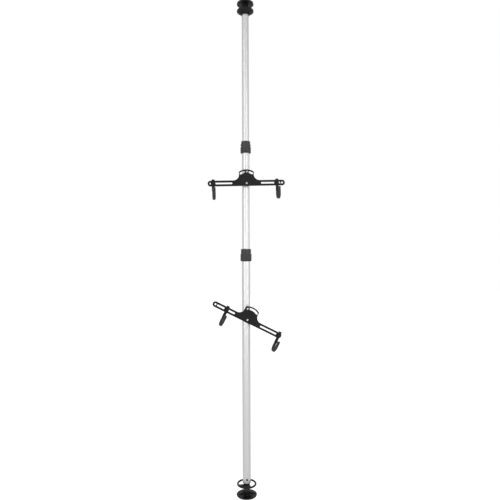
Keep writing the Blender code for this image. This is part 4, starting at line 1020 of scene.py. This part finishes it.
def build_plates():
    plate = slab("plate", plate_outline(), -PLATE_BACK, -PLATE_FRONT, UPRIGHT)
    start, end, width = SLOT
    for outline in (slot_outline(start, end, width), slot_outline(-end, -start, width),
                    arc_slot_outline()):
        combine(plate, slab("slot", outline, *PLATE_CUT, UPRIGHT))
    for x, radius in ((-ARM_END, END_HOLE_R), (ARM_END, END_HOLE_R), (0, PIVOT_HOLE_R)):
        drill(plate, radius, *PLATE_CUT, Matrix.Translation((x, 0, 0)) @ UPRIGHT)
    round_edges(plate, 0.0006, 2)
    for bracket in PIVOT_Z:
        finish_piece(copy_to(plate, "plate", tilt_frame(bracket)), bracket + "_plate")
    discard(plate)


# Hooks

def ribbon(path, half):
    """Closed outline of a strip with the path as its middle line."""
    left, right = [], []
    for i, here in enumerate(path):
        along = Vector(path[min(i + 1, len(path) - 1)]) - Vector(path[max(i - 1, 0)])
        side = Vector((-along.y, along.x)).normalized() * half
        left.append(tuple(Vector(here) + side))
        right.append(tuple(Vector(here) - side))
    return left + right[::-1]


def build_bar_and_sleeve():
    # Flat bar, bent over the arm's top edge, down the front and round to the tip
    lip = [(BAR_Y + LIP_END, LIP_TOP)]
    lip += arc((BAR_Y + LIP_BEND_R, LIP_TOP - LIP_BEND_R), LIP_BEND_R, pi / 2, pi, 8)
    bend = arc((BAR_Y - HOOK_BEND_R, HOOK_BEND_Z), HOOK_BEND_R, 0, -pi, 40)
    tip_y = BAR_Y - 2 * HOOK_BEND_R
    path = lip + [(BAR_Y, z) for z in SHOULDER_Z] + bend + [(tip_y, HOOK_TIP)]
    hook = slab("hook", ribbon(path, BAR_THICK / 2), -BAR_WIDTH / 2, BAR_WIDTH / 2, SIDEWAYS)
    # Below the shoulders the bar is narrower, to go in the sleeve
    activate(hook)
    bpy.ops.object.mode_set(mode="EDIT")
    select_verts(hook, lambda vert, last: vert.co.z < -0.050 or vert.co.y < BAR_Y - 0.02)
    bpy.ops.transform.resize(value=(CORE_WIDTH / BAR_WIDTH, 1, 1), center_override=(0, 0, 0))
    leave_edit(hook)
    round_edges(hook, 0.0006, 2)
    drill(hook, STUD_R + FIT, 0.03, 0.06, UPRIGHT, SCREW_STEPS)

    # Moulded sleeve with a full rounded section, hollow for the bar
    path = [(BAR_Y, SLEEVE_TOP)] + bend + [(tip_y, HOOK_TIP + SLEEVE_END)]
    sleeve = slab("sleeve", ribbon(path, SLEEVE_THICK / 2), -SLEEVE_WIDTH / 2, SLEEVE_WIDTH / 2,
                  SIDEWAYS)
    round_edges(sleeve, 0.0036, 5)
    path = [(BAR_Y, -0.040)] + bend + [(tip_y, HOOK_TIP + FIT)]
    core = slab("core", ribbon(path, BAR_THICK / 2 + FIT), -CORE_WIDTH / 2 - FIT,
                CORE_WIDTH / 2 + FIT, SIDEWAYS)
    combine(sleeve, core)
    return hook, sleeve


def build_knob():
    # Star knob, its outer face dished inside the lobes
    lobes = []
    for i in range(KNOB_STEPS):
        angle = tau * i / KNOB_STEPS
        radius = KNOB_R - KNOB_LOBE_DEPTH * (1 - cos(KNOB_LOBES * angle)) / 2
        lobes.append((radius * cos(angle), radius * sin(angle)))
    seat = PLATE_BACK + FIT
    face = seat + KNOB_COLLAR_THICK + KNOB_THICK
    knob = slab("knob", lobes, seat + KNOB_COLLAR_THICK, face, ALONG_Y)
    round_edges(knob, 0.0018, 4, 50)
    activate(knob)
    bpy.ops.object.mode_set(mode="EDIT")
    bpy.context.tool_settings.mesh_select_mode = (False, False, True)
    select_verts(knob, lambda vert, last: vert.co.y > face - 0.00001)
    bpy.ops.mesh.inset(thickness=KNOB_RIM, depth=-KNOB_DISH)
    bpy.context.tool_settings.mesh_select_mode = (True, False, False)
    leave_edit(knob)

    # Its collar, and the stud that goes through the arm and the bar
    tip = PLATE_FRONT - FIT - BAR_THICK - 0.002
    collar_in_knob = seat + KNOB_COLLAR_THICK + 0.001
    stud = turned("stud", [
        (0, tip), (STUD_R - STUD_CHAMFER, tip), (STUD_R, tip + STUD_CHAMFER), (STUD_R, seat),
        (KNOB_COLLAR_R - 0.0004, seat), (KNOB_COLLAR_R, seat + 0.0004),
        (KNOB_COLLAR_R, collar_in_knob), (0, collar_in_knob)], 48, ALONG_Y)
    combine(knob, stud, "UNION")
    return knob


def build_hooks():
    hook, sleeve = build_bar_and_sleeve()
    knob = build_knob()
    for bracket, sides in HOOK_X.items():
        for side, x in sides.items():
            node = bracket + "_hook_" + side
            at = tilt_frame(bracket) @ Matrix.Translation((x, 0, 0))
            finish_piece(copy_to(hook, "hook", at), node)
            finish_piece(copy_to(sleeve, "sleeve", at), node + "_sleeve")
            finish_piece(copy_to(knob, "knob", at), node + "_knob")
    discard(hook, sleeve, knob)


dress_cad_nodes()
build_foot()
build_spindle()
build_handwheel()
build_end_plug()
build_tubes()
build_lock("lower")
build_lock("upper")
build_ceiling_end()
build_clamp("upper")
build_clamp("lower")
build_plates()
build_hooks()


# Room, light and camera

def build_floor():
    clear_selection()
    bpy.ops.mesh.primitive_plane_add(size=FLOOR_SIZE, location=(0, 0, FLOOR_HEIGHT))
    floor = bpy.context.object
    floor.name = "studio_floor"
    finish, tree, shader = new_finish("white_studio_floor", Roughness=0.9)
    shader.inputs["Base Color"].default_value = linear("#DADADA")
    glow = add_node(tree, "ShaderNodeEmission", Color=(1, 1, 1, 1), Strength=1.95)
    # The camera sees the floor white, and the metal mirrors a little of that
    seen = add_node(tree, "ShaderNodeLightPath")
    seen_white = add_node(tree, "ShaderNodeMath", {"operation": "MULTIPLY"},
                          _0=seen.outputs["Is Camera Ray"], _1=0.5)
    mirrored_white = add_node(tree, "ShaderNodeMath", {"operation": "MULTIPLY"},
                              _0=seen.outputs["Is Glossy Ray"], _1=0.12)
    share = add_node(tree, "ShaderNodeMath", {"operation": "MAXIMUM"}, _0=seen_white.outputs[0],
                     _1=mirrored_white.outputs[0])
    mix = add_node(tree, "ShaderNodeMixShader", _0=share.outputs[0], _1=shader.outputs[0],
                   _2=glow.outputs[0])
    tree.links.new(mix.outputs[0], tree.nodes["Material Output"].inputs["Surface"])
    floor.data.materials.append(finish)


def build_world():
    world = bpy.data.worlds.new("studio")
    bpy.context.scene.world = world
    world.use_nodes = True
    tree = world.node_tree
    seen = add_node(tree, "ShaderNodeLightPath")
    # The studio is brightest at eye height and falls off towards its ceiling
    way = add_node(tree, "ShaderNodeTexCoord").outputs["Generated"]
    height = add_node(tree, "ShaderNodeSeparateXYZ", Vector=way).outputs["Z"]
    falloff = add_node(tree, "ShaderNodeMapRange", Value=height, _1=0.05, _2=0.55, _3=0.72, _4=0.45)
    strength = add_node(tree, "ShaderNodeMath", {"operation": "MAXIMUM"},
                        _0=seen.outputs["Is Camera Ray"], _1=falloff.outputs[0])
    background = tree.nodes["Background"]
    background.inputs["Color"].default_value = (1, 1, 1, 1)
    tree.links.new(strength.outputs[0], background.inputs["Strength"])


def softbox(name, location, target, size, watts):
    light = bpy.data.lights.new(name, "AREA")
    light.shape = "RECTANGLE"
    light.size, light.size_y = size
    light.energy = watts
    lamp = bpy.data.objects.new(name, light)
    bpy.context.scene.collection.objects.link(lamp)
    lamp.location = location
    aim = Vector(target) - Vector(location)
    lamp.rotation_euler = aim.to_track_quat("-Z", "Y").to_euler()


def build_camera():
    camera = bpy.data.cameras.new("camera")
    camera.lens = CAMERA_LENS
    camera.sensor_width = 36
    camera.shift_y = CAMERA_SHIFT
    camera.clip_start = 0.05
    camera.clip_end = 100
    eye = bpy.data.objects.new("camera", camera)
    bpy.context.scene.collection.objects.link(eye)
    turn = Matrix.Rotation(CAMERA_TURN, 4, "Z") @ Matrix.Rotation(radians(90), 4, "X")
    roll = Matrix.Rotation(CAMERA_ROLL, 4, "Z")
    eye.matrix_world = Matrix.Translation(CAMERA_AT) @ turn @ roll
    bpy.context.scene.camera = eye


build_floor()
build_world()
for name, setting in SOFTBOXES.items():
    softbox(name, *setting)
build_camera()
bpy.context.scene.view_settings.view_transform = "Standard"
